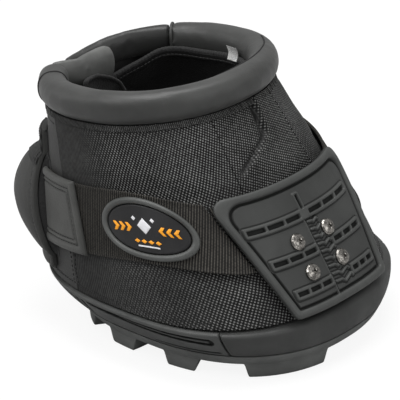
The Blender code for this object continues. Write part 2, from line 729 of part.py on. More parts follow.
def build_collar(material):
    def roll(angle):
        return 0.0, 0.0, ROLL_HALF_THICK, ROLL_HALF_TALL

    def tongue(angle):
        inward = smooth_share(-angle, ROLL_REAR_ANGLE + SEAM_ANGLE, 360.0 - FLAP_END_ANGLE)
        tall = TONGUE_ROOT_TALL + (TONGUE_TIP_TALL - TONGUE_ROOT_TALL) * inward
        return -TONGUE_INSET * inward, -TONGUE_DROP * inward, TONGUE_HALF_THICK, tall

    padded_roll("collar_roll", FLAP_SEAM_ANGLE - SEAM_ANGLE, -ROLL_REAR_ANGLE, roll, ROLL_END, material)
    padded_roll("collar_tongue", -ROLL_REAR_ANGLE - SEAM_ANGLE, -TONGUE_END_ANGLE, tongue, TONGUE_END,
                material)


def flap_drop(angle):
    """How far the flap sags towards its free end."""
    return FLAP_DROP * smooth_share(angle, FLAP_DROP_ANGLE, FLAP_END_ANGLE)


def build_flap(roll_material, cloth, parent):
    def flap_roll(angle):
        swell = FLAP_SWELL * (1 - smooth_share(angle, FLAP_SEAM_ANGLE, FLAP_SWELL_ANGLE))
        return 0.0, -flap_drop(angle), FLAP_HALF_THICK + swell, FLAP_HALF_TALL

    def crown(turns):
        return 1.0 - flap_drop(np.degrees(turns)) / wall_length(turns)

    start = FLAP_SEAM_ANGLE + SEAM_ANGLE
    padded_roll("flap_roll", start, FLAP_END_ANGLE, flap_roll, FLAP_END, roll_material, parent)
    angles = column_angles(start, FLAP_END_ANGLE)
    wall_layer("closure_flap", angles, lambda turns: FLAP_SHARE + FLAP_CLEARANCE / wall_length(turns), crown,
               -PANEL_THICKNESS, 0.0, 3, cloth, parent)


# Straps, sling and loops

def strap_level(angle):
    """Share of the strap's centre line: a smooth curve through its chosen levels."""
    side = np.abs(np.degrees(angle))
    return np.interp(side, STRAP_CURVE_ANGLES, STRAP_CURVE_LEVELS)


def smooth_curve(xs, ys, count):
    """A smooth curve through a few points, as many points of it."""
    dense = np.linspace(xs[0], xs[-1], count)
    slopes = np.gradient(np.array(ys), np.array(xs))
    found = []
    for x in dense:
        i = min(int(np.searchsorted(xs, x, side="right")) - 1, len(xs) - 2)
        width = xs[i + 1] - xs[i]
        u = (x - xs[i]) / width
        found.append(ys[i] * (1 + 2 * u) * (1 - u) ** 2 + slopes[i] * width * u * (1 - u) ** 2
                     + ys[i + 1] * u * u * (3 - 2 * u) + slopes[i + 1] * width * u * u * (u - 1))
    return dense, np.array(found)


STRAP_CURVE_ANGLES, STRAP_CURVE_LEVELS = smooth_curve(STRAP_LEVEL_ANGLES, STRAP_LEVEL_SHARES, 60)
STRAP_SHARE = 0.46


def strap_lift(angle):
    """How far the strap's inner face stands off the wall, rising towards the shield."""
    side = np.abs(np.degrees(angle))
    share = np.clip((STRAP_HINGE_ANGLE - side) / (STRAP_HINGE_ANGLE - STRAP_FRONT_ANGLE), 0, 1)
    return GAP + (STRAP_LIFT_UNDER_SHIELD - GAP) * share


def strap_place(x, y, z):
    """Flat strap coordinates: x round the boot from the toe line, y across, z off its inner face."""
    angle = angle_at(x, STRAP_SHARE)
    share = strap_level(angle) + y / wall_length(angle)
    return wall_point(angle, share, strap_lift(angle) + z)


def build_strap(name, from_angle, to_angle, material, parent=None, front=None):
    """A run of webbing between two angles; front gives slanted corners for its forward end."""
    start = math.copysign(arc_to(abs(from_angle), STRAP_SHARE), from_angle)
    end = math.copysign(arc_to(abs(to_angle), STRAP_SHARE), to_angle)
    low, high = front if front else (end, end)
    half = STRAP_WIDTH / 2
    bm = bmesh.new()
    add_prism(bm, [(start, -half), (low, -half), (high, half), (start, half)], 0.0, STRAP_THICKNESS)
    slices = (even_slices(min(start, end), max(start, end), SHIELD_SLICE), [0.0])
    return laid_on(name, bm, strap_place, slices, material, parent)


def strap_front_corners():
    """Where the strap's lower and upper edges meet the shield's slanted near edge."""
    levels = np.linspace(SHIELD_LOW, SHIELD_LOW + SHIELD_HEIGHT, 40)
    shares = levels / wall_length(0.0)
    angles = angle_at(-shield_edge(levels), shares)
    across = (shares - strap_level(angles)) * wall_length(angles)
    arcs = np.array([-arc_to(abs(math.degrees(a)), STRAP_SHARE) for a in angles])
    return [float(np.interp(y, across, arcs)) - 1.5 * GAP for y in (-STRAP_WIDTH / 2, STRAP_WIDTH / 2)]


def build_sling(material):
    """Leather-like sling round the heel; its tabs lie over the strap ends on both sides."""
    tab = STRAP_HINGE_ANGLE + SEAM_ANGLE
    angles = column_angles(tab, 360.0 - tab)
    turns = np.radians(angles)
    side = np.degrees(np.arccos(np.cos(turns)))
    ramp = np.clip((side - SLING_RAMP_ANGLES[0]) / (SLING_RAMP_ANGLES[1] - SLING_RAMP_ANGLES[0]), 0, 1)
    tab_lift = GAP + STRAP_THICKNESS + GAP
    lift = tab_lift + (GAP - tab_lift) * ramp
    half = (SLING_TAB_WIDTH + (SLING_REAR_WIDTH - SLING_TAB_WIDTH) * ramp) / 2
    level = strap_level(np.radians(side))
    rows = []
    for out in (0.0, SLING_THICKNESS):
        across = np.linspace(-1.0, 1.0, 4) if out == 0.0 else np.linspace(1.0, -1.0, 4)
        for place in across:
            share = level + place * half / wall_length(turns)
            rows.append(wall_point(turns, share, lift + out))
    lofted("heel_sling", np.stack(rows, axis=1), material)


def loop_arch(station, across):
    """Stand-off of a keeper loop's inner face along its length, more at its rear edge."""
    start, end = LOOP_FLAT_SHARES
    inside = np.clip((station - start) / (end - start), 0, 1)
    return GAP + (LOOP_STAND_OFF + LOOP_TWIST * across) * np.sin(np.pi * inside) ** 0.6


def build_loop(name, side, material):
    stations = np.linspace(0.0, 1.0, 17)
    places = np.linspace(-1.0, 1.0, 5)
    rows = [(across, 0.0) for across in places] + [(across, LOOP_THICKNESS) for across in places[::-1]]
    share = LOOP_SHARES[0] + (LOOP_SHARES[1] - LOOP_SHARES[0]) * stations
    middle = np.radians(LOOP_ANGLES[0] + (LOOP_ANGLES[1] - LOOP_ANGLES[0]) * stations)
    base = wall_base(middle, share)
    radius = np.hypot(base[:, 0] - UPPER_CENTRE_X, base[:, 1])
    loops = []
    for across, out in rows:
        turn = side * (middle + across * LOOP_WIDTH / 2 / radius)
        loops.append(wall_point(turn, share, loop_arch(stations, across) + out))
    lofted(name, np.stack(loops, axis=1), material)


def build_badge(rim_material, insert_material, parent):
    count = 36
    centre = -arc_to(BADGE_ANGLE, STRAP_SHARE)

    def place(x, y, z):
        return strap_place(x + centre, y, z + STRAP_THICKNESS + GAP)

    def ring_outline(inset):
        return oval(BADGE_LENGTH - 2 * inset, BADGE_HEIGHT - 2 * inset, count)

    section = [(0.0, 0.0), (0.0, 0.45), (0.2, 0.85), (0.5, 1.0), (0.8, 0.85), (1.0, 0.45), (1.0, 0.0)]
    rim = bmesh.new()
    loops = []
    for inset, height in section:
        outline = ring_outline(inset * BADGE_RIM)
        loops.append([rim.verts.new((x, y, height * BADGE_RIM_HEIGHT)) for x, y in outline])
    loops.append(loops[0])
    grid_faces(rim, loops, wrap=True)
    laid_on("badge_rim", rim, place, ([], []), rim_material, parent)
    insert = bmesh.new()
    add_prism(insert, ring_outline(BADGE_RIM + GAP), 0.0, BADGE_INSERT_THICKNESS)
    half = BADGE_LENGTH / 2 - BADGE_RIM
    laid_on("badge_insert", insert, place, (even_slices(-half, half, SHIELD_SLICE), [0.0]),
            insert_material, parent)


# Front shield and what lies behind it

LOOP_PANEL_OUT = GAP
NUT_OUT = LOOP_PANEL_OUT + LOOP_PANEL_THICKNESS + GAP
STRAP_END_OUT = STRAP_LIFT_UNDER_SHIELD
SHIELD_OUT = STRAP_END_OUT + STRAP_THICKNESS + GAP
SHIELD_FACE = SHIELD_OUT + SHIELD_THICKNESS


def front_place(x, y, z):
    """Front coordinates: x arc from the toe line, y up the toe line, z out of the wall."""
    share = y / wall_length(0.0)
    return wall_point(angle_at(x, share), share, z)


def shield_corners():
    top = SHIELD_LOW + SHIELD_HEIGHT
    halves = ((-SHIELD_BOTTOM_HALF, SHIELD_LOW), (SHIELD_BOTTOM_HALF, SHIELD_LOW),
              (SHIELD_TOP_HALF, top), (-SHIELD_TOP_HALF, top))
    return [(SHIELD_CENTRE + x, y) for x, y in halves]


def shield_outline(inset):
    low = max(SHIELD_BOTTOM_RADIUS - inset / 4, SHIELD_BOTTOM_RADIUS / 4)
    high = max(SHIELD_TOP_RADIUS - inset, SHIELD_TOP_RADIUS / 4)
    return rounded_corners(inset_corners(shield_corners(), inset), (low, low, high, high), 5)


def rib_spans():
    """Each half rib as (start, end, level): the near one up to the spine, then the far one."""
    for level, near, start, end in zip(RIB_LEVELS, RIB_NEAR_ENDS, RIB_FAR_STARTS, RIB_FAR_ENDS):
        yield near, SPINE_X, level
        yield start, end, level


def add_pockets(bm, start, end, level):
    """The recessed cells of one half rib."""
    cell = (end - start - RIB_RAIL) / RIB_CELLS
    floor = SHIELD_FACE + RIB_HEIGHT - RIB_POCKET_DEPTH
    for i in range(RIB_CELLS):
        left = start + RIB_RAIL + i * cell
        outline = rectangle(left, left + cell - RIB_RAIL, level - RIB_WIDTH / 2 + RIB_RAIL,
                            level + RIB_WIDTH / 2 - RIB_RAIL)
        add_prism(bm, outline, floor, SHIELD_FACE + OVERRUN)


def add_chevron(bm, index):
    """One V of the column beside the spine; the column widens downwards."""
    level = CHEVRON_TOP - index * CHEVRON_PITCH
    reach = CHEVRON_TOP_END + (CHEVRON_LOW_END - CHEVRON_TOP_END) * index / (CHEVRON_COUNT - 1)
    middle = (CHEVRON_START + reach) / 2
    dip = CHEVRON_DIP * (reach - CHEVRON_START) / (CHEVRON_LOW_END - CHEVRON_START)
    top = [(CHEVRON_START, level), (middle, level - dip), (reach, level)]
    low = [(x, y - CHEVRON_BAR) for x, y in top]
    add_prism(bm, low + top[::-1], SHIELD_FACE - RELIEF_SINK, SHIELD_FACE + CHEVRON_HEIGHT)


def screw_places():
    return [(SCREW_CENTRE + side * SCREW_SIDE, level) for level in SCREW_LEVELS for side in (-1, 1)]


def add_round_cutters(bm, radius, low, high):
    for x, y in screw_places():
        outline = [(x + px, y + py) for px, py in oval(2 * radius, 2 * radius, SCREW_SIDES)]
        add_prism(bm, outline, low, high)


def build_shield(material, parent):
    plate = bmesh.new()
    add_prism(plate, shield_outline(0.0), SHIELD_OUT, SHIELD_FACE)
    root = SHIELD_FACE - RELIEF_SINK
    border = bmesh.new()
    add_frame(border, shield_outline(GAP / 10), shield_outline(SHIELD_BORDER), root,
              SHIELD_FACE + SHIELD_BORDER_HEIGHT)
    top = SHIELD_FACE + RIB_HEIGHT
    raised = bmesh.new()
    for start, end, level in rib_spans():
        add_prism(raised, rectangle(start, end, level - RIB_WIDTH / 2, level + RIB_WIDTH / 2), root, top)
    for index in range(CHEVRON_COUNT):
        add_chevron(raised, index)
    stub_low, stub_top = RIB_LEVELS[0] - RIB_WIDTH / 2, RIB_LEVELS[0] + RIB_WIDTH / 2 + STUB_HEIGHT
    stub_near, stub_far = SPINE_X - GAP, SPINE_X + STUB_WIDTH + GAP
    spine = bmesh.new()
    add_prism(spine, rectangle(stub_near, stub_far, stub_low, stub_top), root, top)
    spine_low = SHIELD_LOW + SHIELD_BORDER / 2
    add_prism(spine, rectangle(SPINE_X - SPINE_WIDTH, SPINE_X, spine_low, stub_low - GAP),
              root, SHIELD_FACE + CHEVRON_HEIGHT)
    cells = bmesh.new()
    for start, end, level in rib_spans():
        add_pockets(cells, start, end, level)
    add_prism(cells, rectangle(stub_near + RIB_RAIL, stub_far - RIB_RAIL, RIB_LEVELS[0] + RIB_WIDTH / 2,
                               stub_top - RIB_RAIL), top - RIB_POCKET_DEPTH, SHIELD_FACE + OVERRUN)
    add_round_cutters(cells, NUT_BORE_RADIUS, SHIELD_OUT - OVERRUN, SHIELD_FACE + OVERRUN)
    seats = bmesh.new()
    add_round_cutters(seats, SCREW_HEAD_RADIUS + GAP, SHIELD_FACE - SCREW_SEAT_DEPTH, SHIELD_FACE + OVERRUN)
    flat = cut_or_joined(plate, [("UNION", border), ("UNION", raised), ("UNION", spine),
                                 ("DIFFERENCE", cells), ("DIFFERENCE", seats)])
    slices = (even_slices(SHIELD_CENTRE - SHIELD_TOP_HALF, SHIELD_CENTRE + SHIELD_TOP_HALF, SHIELD_SLICE),
              even_slices(SHIELD_LOW, SHIELD_LOW + SHIELD_HEIGHT, SHIELD_HEIGHT / 4))
    return laid_on("front_shield", flat, front_place, slices, material, parent)


def shield_edge(level):
    """How far the shield's near edge lies from the toe line at a level."""
    share = (level - SHIELD_LOW) / SHIELD_HEIGHT
    return SHIELD_BOTTOM_HALF + (SHIELD_TOP_HALF - SHIELD_BOTTOM_HALF) * share - SHIELD_CENTRE


def hook_side_range():
    """Near and far edges of the side hook pad, set in from the shield's far edge."""
    far = shield_edge(HOOK_SIDE_LEVELS[0]) + 2 * SHIELD_CENTRE - HOOK_SIDE_INSET
    return far - HOOK_SIDE_WIDTH, far


def build_strap_end(material, parent):
    """Webbing clamped behind the shield, from its near edge to past the screws."""
    level = STRAP_LEVEL_SHARES[0] * float(wall_length(0.0))
    low, high = level - STRAP_WIDTH / 2, level + STRAP_WIDTH / 2
    margin = 2 * GAP
    knee = SCREW_CENTRE - SCREW_SIDE - NUT_FLANGE_RADIUS
    outline = [(-shield_edge(low) + margin, low), (knee, STRAP_END_LEVELS[0]),
               (STRAP_END_REACH, STRAP_END_LEVELS[0]), (STRAP_END_REACH, STRAP_END_LEVELS[1]),
               (-shield_edge(high) + margin, high)]
    web = bmesh.new()
    add_prism(web, outline, STRAP_END_OUT, STRAP_END_OUT + STRAP_THICKNESS)
    holes = bmesh.new()
    add_round_cutters(holes, NUT_BARREL_RADIUS + GAP, STRAP_END_OUT - OVERRUN,
                      STRAP_END_OUT + STRAP_THICKNESS + OVERRUN)
    flat = cut_or_joined(web, [("DIFFERENCE", holes)])
    slices = (even_slices(-shield_edge(high), STRAP_END_REACH, SHIELD_SLICE), [level])
    laid_on("near_strap_end", flat, front_place, slices, material, parent)


def front_patch(name, x_range, y_range, low, high, material, parent=None):
    bm = bmesh.new()
    add_prism(bm, rectangle(*x_range, *y_range), low, high)
    slices = (even_slices(*x_range, SHIELD_SLICE), even_slices(*y_range, SHIELD_HEIGHT / 4))
    laid_on(name, bm, front_place, slices, material, parent)


def turned_rows(bm, profile):
    """Rings of vertices for a round piece, from a (radius, height) profile about its own Z."""
    turns = np.linspace(0.0, 2 * math.pi, SCREW_SIDES, endpoint=False)
    return vertex_rows(bm, [[(radius * math.cos(turn), radius * math.sin(turn), height) for turn in turns]
                            for radius, height in profile])


def set_on_wall(name, bm, frame, material, parent):
    bmesh.ops.transform(bm, matrix=frame, verts=bm.verts)
    return new_object(name, bm, material, parent)


def frame_on_wall(x, y, out):
    """Matrix with its Z along the wall's normal at a place of the front."""
    origin = front_place(np.array([x]), np.array([y]), np.array([out]))[0]
    above = front_place(np.array([x]), np.array([y]), np.array([out + OVERRUN]))[0]
    normal = Vector(above - origin).normalized()
    return Matrix.Translation(Vector(origin)) @ normal.to_track_quat("Z", "Y").to_matrix().to_4x4()


def build_screw(index, x, y, material, parent):
    head = SHIELD_FACE + GAP
    length = head - NUT_OUT - GAP
    shoulder = SCREW_HEAD_HEIGHT - SCREW_HEAD_RIM
    profile = [(SCREW_SHANK_RADIUS, -length), (SCREW_SHANK_RADIUS, 0.0), (SCREW_HEAD_RADIUS, 0.0),
               (SCREW_HEAD_RADIUS, SCREW_HEAD_RIM)]
    for turn in (30.0, 60.0):
        profile.append((SCREW_HEAD_RADIUS * math.cos(math.radians(turn)),
                        SCREW_HEAD_RIM + shoulder * math.sin(math.radians(turn))))
    bm = bmesh.new()
    grid = turned_rows(bm, profile)
    grid_faces(bm, grid, wrap=True)
    bm.faces.new(grid[0])
    bm.faces.new(grid[-1][::-1])
    cross = bmesh.new()
    top = SCREW_HEAD_HEIGHT + OVERRUN
    floor = SCREW_HEAD_HEIGHT - RECESS_DEPTH
    half, narrow = RECESS_LENGTH / 2, RECESS_WIDTH / 2
    add_prism(cross, [(narrow, -half), (narrow, -narrow), (half, -narrow), (half, narrow), (narrow, narrow),
                      (narrow, half), (-narrow, half), (-narrow, narrow), (-half, narrow), (-half, -narrow),
                      (-narrow, -narrow), (-narrow, -half)], floor, top)
    screw = cut_or_joined(bm, [("DIFFERENCE", cross)])
    set_on_wall(f"shield_screw_{index}", screw, frame_on_wall(x, y, head), material, parent)


def build_nut(index, x, y, material, parent):
    barrel = STRAP_END_OUT + STRAP_THICKNESS - NUT_OUT
    profile = [(NUT_BORE_RADIUS, 0.0), (NUT_FLANGE_RADIUS, 0.0), (NUT_FLANGE_RADIUS, NUT_FLANGE),
               (NUT_BARREL_RADIUS, NUT_FLANGE), (NUT_BARREL_RADIUS, barrel), (NUT_BORE_RADIUS, barrel)]
    bm = bmesh.new()
    grid = turned_rows(bm, profile)
    grid.append(grid[0])
    grid_faces(bm, grid, wrap=True)
    set_on_wall(f"tee_nut_{index}", bm, frame_on_wall(x, y, NUT_OUT), material, parent)


def build_tag(index, angle, material):
    """Blank white tag hanging from the collar against the liner."""
    turn = math.radians(angle)
    binding_top = float(liner_top(turn)) + (2 * BINDING_RADIUS + 2 * GAP) / float(wall_length(turn))
    radius = float(np.hypot(*(wall_base(np.array(turn), np.array(0.9))[:2] - (COLLAR_X, 0.0))))
    half = TAG_WIDTH / 2 / radius
    inner = LINER_INNER - 2 * (BINDING_RADIUS - LINER_THICKNESS / 2) - GAP - TAG_THICKNESS
    drop = TAG_HEIGHT / float(wall_length(turn))
    angles = np.degrees(np.linspace(turn - half, turn + half, 3))
    wall_layer(f"collar_tag_{index}", angles, lambda turns: binding_top - drop + 0 * turns,
               lambda turns: binding_top + 0 * turns, inner, inner + TAG_THICKNESS, 2, material)


# Joint axes

def strap_hinge_line():
    """Two points on the outer rear edge of the near strap."""
    x = -arc_to(STRAP_HINGE_ANGLE - STRAP_END_GAP_ANGLE, STRAP_SHARE)
    ends = strap_place(np.array([x, x]), np.array([-STRAP_WIDTH / 2, STRAP_WIDTH / 2]),
                       np.array([STRAP_THICKNESS, STRAP_THICKNESS]))
    return ends[0], ends[1]


def shield_hinge_line():
    """Two points along the near edge of the shield's back."""
    low, high = SHIELD_LOW + SHIELD_BOTTOM_RADIUS, SHIELD_LOW + SHIELD_HEIGHT - SHIELD_TOP_RADIUS
    ends = front_place(np.array([-shield_edge(low), -shield_edge(high)]), np.array([low, high]),
                       np.array([SHIELD_OUT, SHIELD_OUT]))
    return ends[0], ends[1]


def flap_hinge_line():
    """Two points up the outer face of the closure flap's seam."""
    turn = math.radians(FLAP_SEAM_ANGLE + SEAM_ANGLE)
    foot = wall_point(turn, FLAP_SHARE, 0.0)
    head = collar_point(np.array(turn), FLAP_HALF_THICK + FLAP_SWELL, ROLL_HALF_TALL)
    return foot, head


def pivot(name, line, parent=None):
    """An empty at the middle of a hinge line, its Z along the line."""
    low, high = Vector(line[0]), Vector(line[1])
    empty = bpy.data.objects.new(name, None)
    bpy.context.scene.collection.objects.link(empty)
    empty.location = (low + high) / 2
    axis = (high - low).normalized()
    print(name, "at", [round(c, 5) for c in empty.location], "axis", [round(c, 5) for c in axis])
    return empty


def centre_on_ground(objects):
    """Moves everything so that the origin is under the middle of the whole boot."""
    bpy.context.view_layer.update()
    corners = [obj.matrix_world @ vertex.co
               for obj in objects if obj.type == "MESH" for vertex in obj.data.vertices]
    xs, ys = [c.x for c in corners], [c.y for c in corners]
    shift = Vector(((min(xs) + max(xs)) / 2, (min(ys) + max(ys)) / 2, 0.0))
    for obj in objects:
        if obj.parent is None:
            obj.location -= shift
    print("moved by", [round(-c, 6) for c in shift])


def main():
    for obj in list(bpy.data.objects):
        bpy.data.objects.remove(obj, do_unlink=True)
    rubber = finish("outsole_rubber", (0.035, 0.036, 0.036), 0.55)
    cup_rubber = finish("cup_rubber", (0.045, 0.046, 0.046), 0.5)
    shield_rubber = finish("shield_rubber", (0.055, 0.058, 0.056), 0.5)
    woven = finish("woven_nylon", (0.02, 0.02, 0.02), 0.8)
    smooth = finish("smooth_nylon", (0.03, 0.03, 0.03), 0.6)
    padding = finish("collar_leather", (0.07, 0.07, 0.07), 0.45)
    cloth = finish("liner_cloth", (0.012, 0.012, 0.012), 0.9)
    webbing = finish("webbing", (0.035, 0.032, 0.03), 0.8)
    sling = finish("sling_leather", (0.05, 0.05, 0.05), 0.5)
    fastener = finish("hook_and_loop", (0.02, 0.02, 0.02), 0.95)
    foam = finish("insole_foam", (0.03, 0.03, 0.03), 0.9)
    steel = finish("screw_steel", (0.6, 0.6, 0.6), 0.3, 1.0)
    white = finish("white_tape", (0.8, 0.8, 0.8), 0.7)
    build_outsole(rubber)
    build_cup(cup_rubber)
    build_bumper(cup_rubber)
    build_insole(foam)
    build_panels(woven, smooth)
    build_liner(cloth, cloth)
    build_collar(padding)
    build_sling(sling)
    build_loop("near_heel_loop", -1, smooth)
    build_loop("far_heel_loop", 1, smooth)
    flap_pivot = pivot("flap_pivot", flap_hinge_line())
    build_flap(padding, smooth, flap_pivot)
    strap_pivot = pivot("strap_pivot", strap_hinge_line())
    shield_pivot = pivot("shield_pivot", shield_hinge_line())
    build_strap("near_strap_root", -STRAP_ROOT_ANGLE, -STRAP_HINGE_ANGLE, webbing)
    build_strap("near_strap", STRAP_END_GAP_ANGLE - STRAP_HINGE_ANGLE, -STRAP_FRONT_ANGLE, webbing,
                strap_pivot, strap_front_corners())
    build_strap("far_strap", STRAP_ROOT_ANGLE, FAR_STRAP_END_ANGLE, webbing)
    build_badge(cup_rubber, smooth, strap_pivot)
    build_shield(shield_rubber, shield_pivot)
    build_strap_end(webbing, shield_pivot)
    front_patch("loop_panel", (-LOOP_PANEL_HALF_WIDTH, LOOP_PANEL_HALF_WIDTH), LOOP_PANEL_LEVELS,
                LOOP_PANEL_OUT, LOOP_PANEL_OUT + LOOP_PANEL_THICKNESS, fastener)
    hook_low = LOOP_PANEL_OUT + LOOP_PANEL_THICKNESS + GAP
    front_patch("hook_pad_side", hook_side_range(), HOOK_SIDE_LEVELS, hook_low, SHIELD_OUT - GAP,
                fastener, shield_pivot)
    front_patch("hook_pad_low", HOOK_LOW_RANGE, HOOK_LOW_LEVELS, hook_low, SHIELD_OUT - GAP,
                fastener, shield_pivot)
    for index, (x, y) in enumerate(screw_places(), start=1):
        build_screw(index, x, y, steel, shield_pivot)
        build_nut(index, x, y, steel, shield_pivot)
    for index, angle in enumerate(TAG_ANGLES, start=1):
        build_tag(index, angle, white)
    centre_on_ground(list(bpy.data.objects))


main()
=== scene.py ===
"""Horse hoof boot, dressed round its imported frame: fine surfaces, cloth, stitching, light and camera.

Design points have the toe on +X, the far side on +Y and the ground at z = 0. Angles run round the boot
from the toe, positive on the far side. A share runs up the upper's wall, 0 at the cup and 1 at the collar.
"""
import math

import bpy
import numpy as np
from mathutils import Matrix, Vector


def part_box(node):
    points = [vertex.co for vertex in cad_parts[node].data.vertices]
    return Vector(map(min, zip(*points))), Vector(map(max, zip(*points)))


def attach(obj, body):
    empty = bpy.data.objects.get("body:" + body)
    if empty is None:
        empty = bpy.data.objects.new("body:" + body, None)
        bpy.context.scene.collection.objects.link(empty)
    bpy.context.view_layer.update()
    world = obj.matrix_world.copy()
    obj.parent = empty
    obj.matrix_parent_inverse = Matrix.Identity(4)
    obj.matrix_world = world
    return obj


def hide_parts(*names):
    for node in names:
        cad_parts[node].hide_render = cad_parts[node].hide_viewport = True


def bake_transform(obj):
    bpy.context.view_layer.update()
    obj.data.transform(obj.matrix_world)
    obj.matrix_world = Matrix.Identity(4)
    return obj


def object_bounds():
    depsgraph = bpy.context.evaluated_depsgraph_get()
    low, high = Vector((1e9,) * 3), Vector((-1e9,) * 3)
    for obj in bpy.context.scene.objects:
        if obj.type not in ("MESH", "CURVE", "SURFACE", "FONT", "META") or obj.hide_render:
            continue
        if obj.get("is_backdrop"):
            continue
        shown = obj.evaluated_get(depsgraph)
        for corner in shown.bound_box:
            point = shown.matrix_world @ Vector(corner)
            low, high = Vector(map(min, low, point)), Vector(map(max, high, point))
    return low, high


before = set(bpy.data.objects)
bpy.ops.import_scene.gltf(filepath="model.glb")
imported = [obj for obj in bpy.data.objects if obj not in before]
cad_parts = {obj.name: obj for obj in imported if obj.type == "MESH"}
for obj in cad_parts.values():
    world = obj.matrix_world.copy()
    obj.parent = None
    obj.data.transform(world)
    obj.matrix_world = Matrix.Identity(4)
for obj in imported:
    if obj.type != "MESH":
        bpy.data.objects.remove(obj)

CAD_LOW, CAD_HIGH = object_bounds()

bl_info = {
    "name": "Hoof Boot Maker",
    "version": (1, 0, 0),
    "blender": (4, 5, 0),
    "location": "3D View > Sidebar > Hoof Boot",
    "description": "Builds the visible surfaces of a strapped rubber and cloth hoof boot",
    "category": "Object",
}

MM = 0.001
GAP = 0.3 * MM

# Sole
LUG_HEIGHT = 8.0 * MM
LUG_DRAFT = 3.0 * MM
TREAD = (75.5 * MM, 70.5 * MM, 70.0 * MM, 2.34, 2.8)
BAND = (78.5 * MM, 77.5 * MM, 74.0 * MM, 2.34, 2.8)
BAND_TOP = 14.0 * MM
EDGE_LUG_ANGLES = ((11.0, 47.0), (65.0, 82.0), (97.0, 113.0), (125.0, 147.0), (160.0, 177.0))
FAR_TOE_LUG = (31.0, 50.0, 0.72, 0.955)
EDGE_LUG_START = 0.74
INNER_LUGS = (6, 14.0, 0.12, 0.62)
CUP_BASE = BAND_TOP + GAP
CUP_HEIGHT = 14.7 * MM
CUP_FLOOR = 3.0 * MM
CUP_WALL = 5.5 * MM
CUP_BULGE = 1.5 * MM
INSOLE_THICK = 4.0 * MM
BUMPER_ANGLE = 52.0
WEDGE_ANGLES = (55.0, 108.0)
THIN_ANGLES = (54.5, 82.0)

RAND_DEGREE = math.radians(1) * 75.0 * MM
WEDGE_DEPTH = 2.0 * MM
BAR_HEIGHT = 1.8 * MM
THIN_DEPTH = 0.9 * MM
SLOT_DEPTH = 1.6 * MM
SLOT_PITCH = 3.2
SLOT_START = (109.2, 109.7)

# Upper, collar and liner
UPPER = (80.0 * MM, 88.0 * MM, 81.0 * MM, 2.6, 2.66)
UPPER_X = -7.5 * MM
UPPER_BASE = CUP_BASE + CUP_HEIGHT
WALL_BULGE = 1.0 * MM
CLOTH_THICK = 2.0 * MM
CLOTH_EDGE = 0.3 * MM
FOLD_SHARES = (0.68, 0.72, 0.83, 0.97, 1.02)
FOLD_ANGLES = (-21.0, -17.0, 4.0, 6.0, 6.0)
FOLD_DEGREE = math.radians(1) * 62.0 * MM
FOLD_SHIFT = 1.4 * MM
FOLD_SPAN = (0.66, 0.74)
COLLAR_X = -51.0 * MM
COLLAR_Z = 125.5 * MM
COLLAR_TILT = math.radians(5.5)
COLLAR = (52.5 * MM, 52.5 * MM, 58.0 * MM, 2.14, 2.14)
GUSSET_ANGLE = 24.0
HEEL_SEAM = 113.0
REAR_JOIN = 202.0
FLAP_SEAM = 124.0
FLAP_END = 200.0
FLAP_SHARE = 0.86
FLAP_CLEARANCE = 1.0 * MM
ROLL_REAR = 147.0
ROLL_HALVES = (7.8 * MM, 8.5 * MM)
ROLL_SQUARENESS = 0.85
TONGUE_END = 195.0
LINER_OUT = -CLOTH_THICK - 1.3 * GAP
LINER_IN = LINER_OUT - CLOTH_THICK
BINDING_RADIUS = 1.6 * MM

# Straps, sling and loops
STRAP_WIDTH = 37.0 * MM
STRAP_THICK = 1.6 * MM
STRAP_SHARE = 0.46
STRAP_LEVELS = ((36.0, 0.42), (69.0, 0.49), (102.0, 0.455), (180.0, 0.36))
HINGE_ANGLE = 101.0
STRAP_FRONT = 37.0
STRAP_ROOT = 125.0
FAR_STRAP_END = 31.0
STRAP_ROW = 22
RIB_LEAN = 0.3
SLING_THICK = 2.0 * MM
SLING_RAMP = (126.0, 133.0)
LOOP_WIDTH = 28.0 * MM
LOOP_LENGTH = 72.0 * MM
LOOP_THICK = 3.5 * MM
LOOP_SPAN = (0.09, 0.83)
LOOP_SHARES = (0.06, 0.82)
LOOP_ANGLES = (134.0, 141.0)

# Badge and shield
BADGE_ANGLE = 67.5
BADGE_HALF = (25.5 * MM, 16.5 * MM)
BADGE_RIM = 3.4 * MM
BADGE_RIM_HEIGHT = 2.4 * MM
SHIELD_CENTRE = -1.2 * MM
SHIELD_LOW = 0.6 * MM
SHIELD_HEIGHT = 69.2 * MM
SHIELD_HALVES = (35.8 * MM, 50.5 * MM)
SHIELD_RADII = (2.5 * MM, 10.0 * MM)
SHIELD_SLOPE = (SHIELD_HALVES[1] - SHIELD_HALVES[0]) / SHIELD_HEIGHT
FIELD_RADII = (5.0 * MM, 15.0 * MM)
SHIELD_OUT = 3.9 * MM
SHIELD_FACE = 6.3 * MM
BORDER = 4.3 * MM
PAD_THICK = 2.5 * MM
RELIEF_EDGE = 0.45 * MM
RIB_WIDTH = 5.6 * MM
RIB_HEIGHT = 0.95 * MM
RIB_RAIL = 1.6 * MM
RIB_CELLS = 3
CELL_DEPTH = 2.0 * MM
RIB_LEVELS = (49.5 * MM, 30.5 * MM, 12.5 * MM)
RIB_NEAR_ENDS = (-41.8 * MM, -37.0 * MM, -32.2 * MM)
RIB_FAR_STARTS = (-2.3 * MM, 5.6 * MM, 9.0 * MM)
RIB_FAR_ENDS = (35.5 * MM, 32.0 * MM, 29.5 * MM)
SPINE_X = -6.0 * MM
CHEVRONS = 9
CHEVRON_PITCH = 4.25 * MM
CHEVRON_TOP = 45.6 * MM
SCREW_PLACES = tuple((x * MM, y * MM) for y in (37.8, 20.6) for x in (-16.6, 6.6))
SCREW_RADIUS = 4.5 * MM
SCREW_HEIGHT = 2.3 * MM

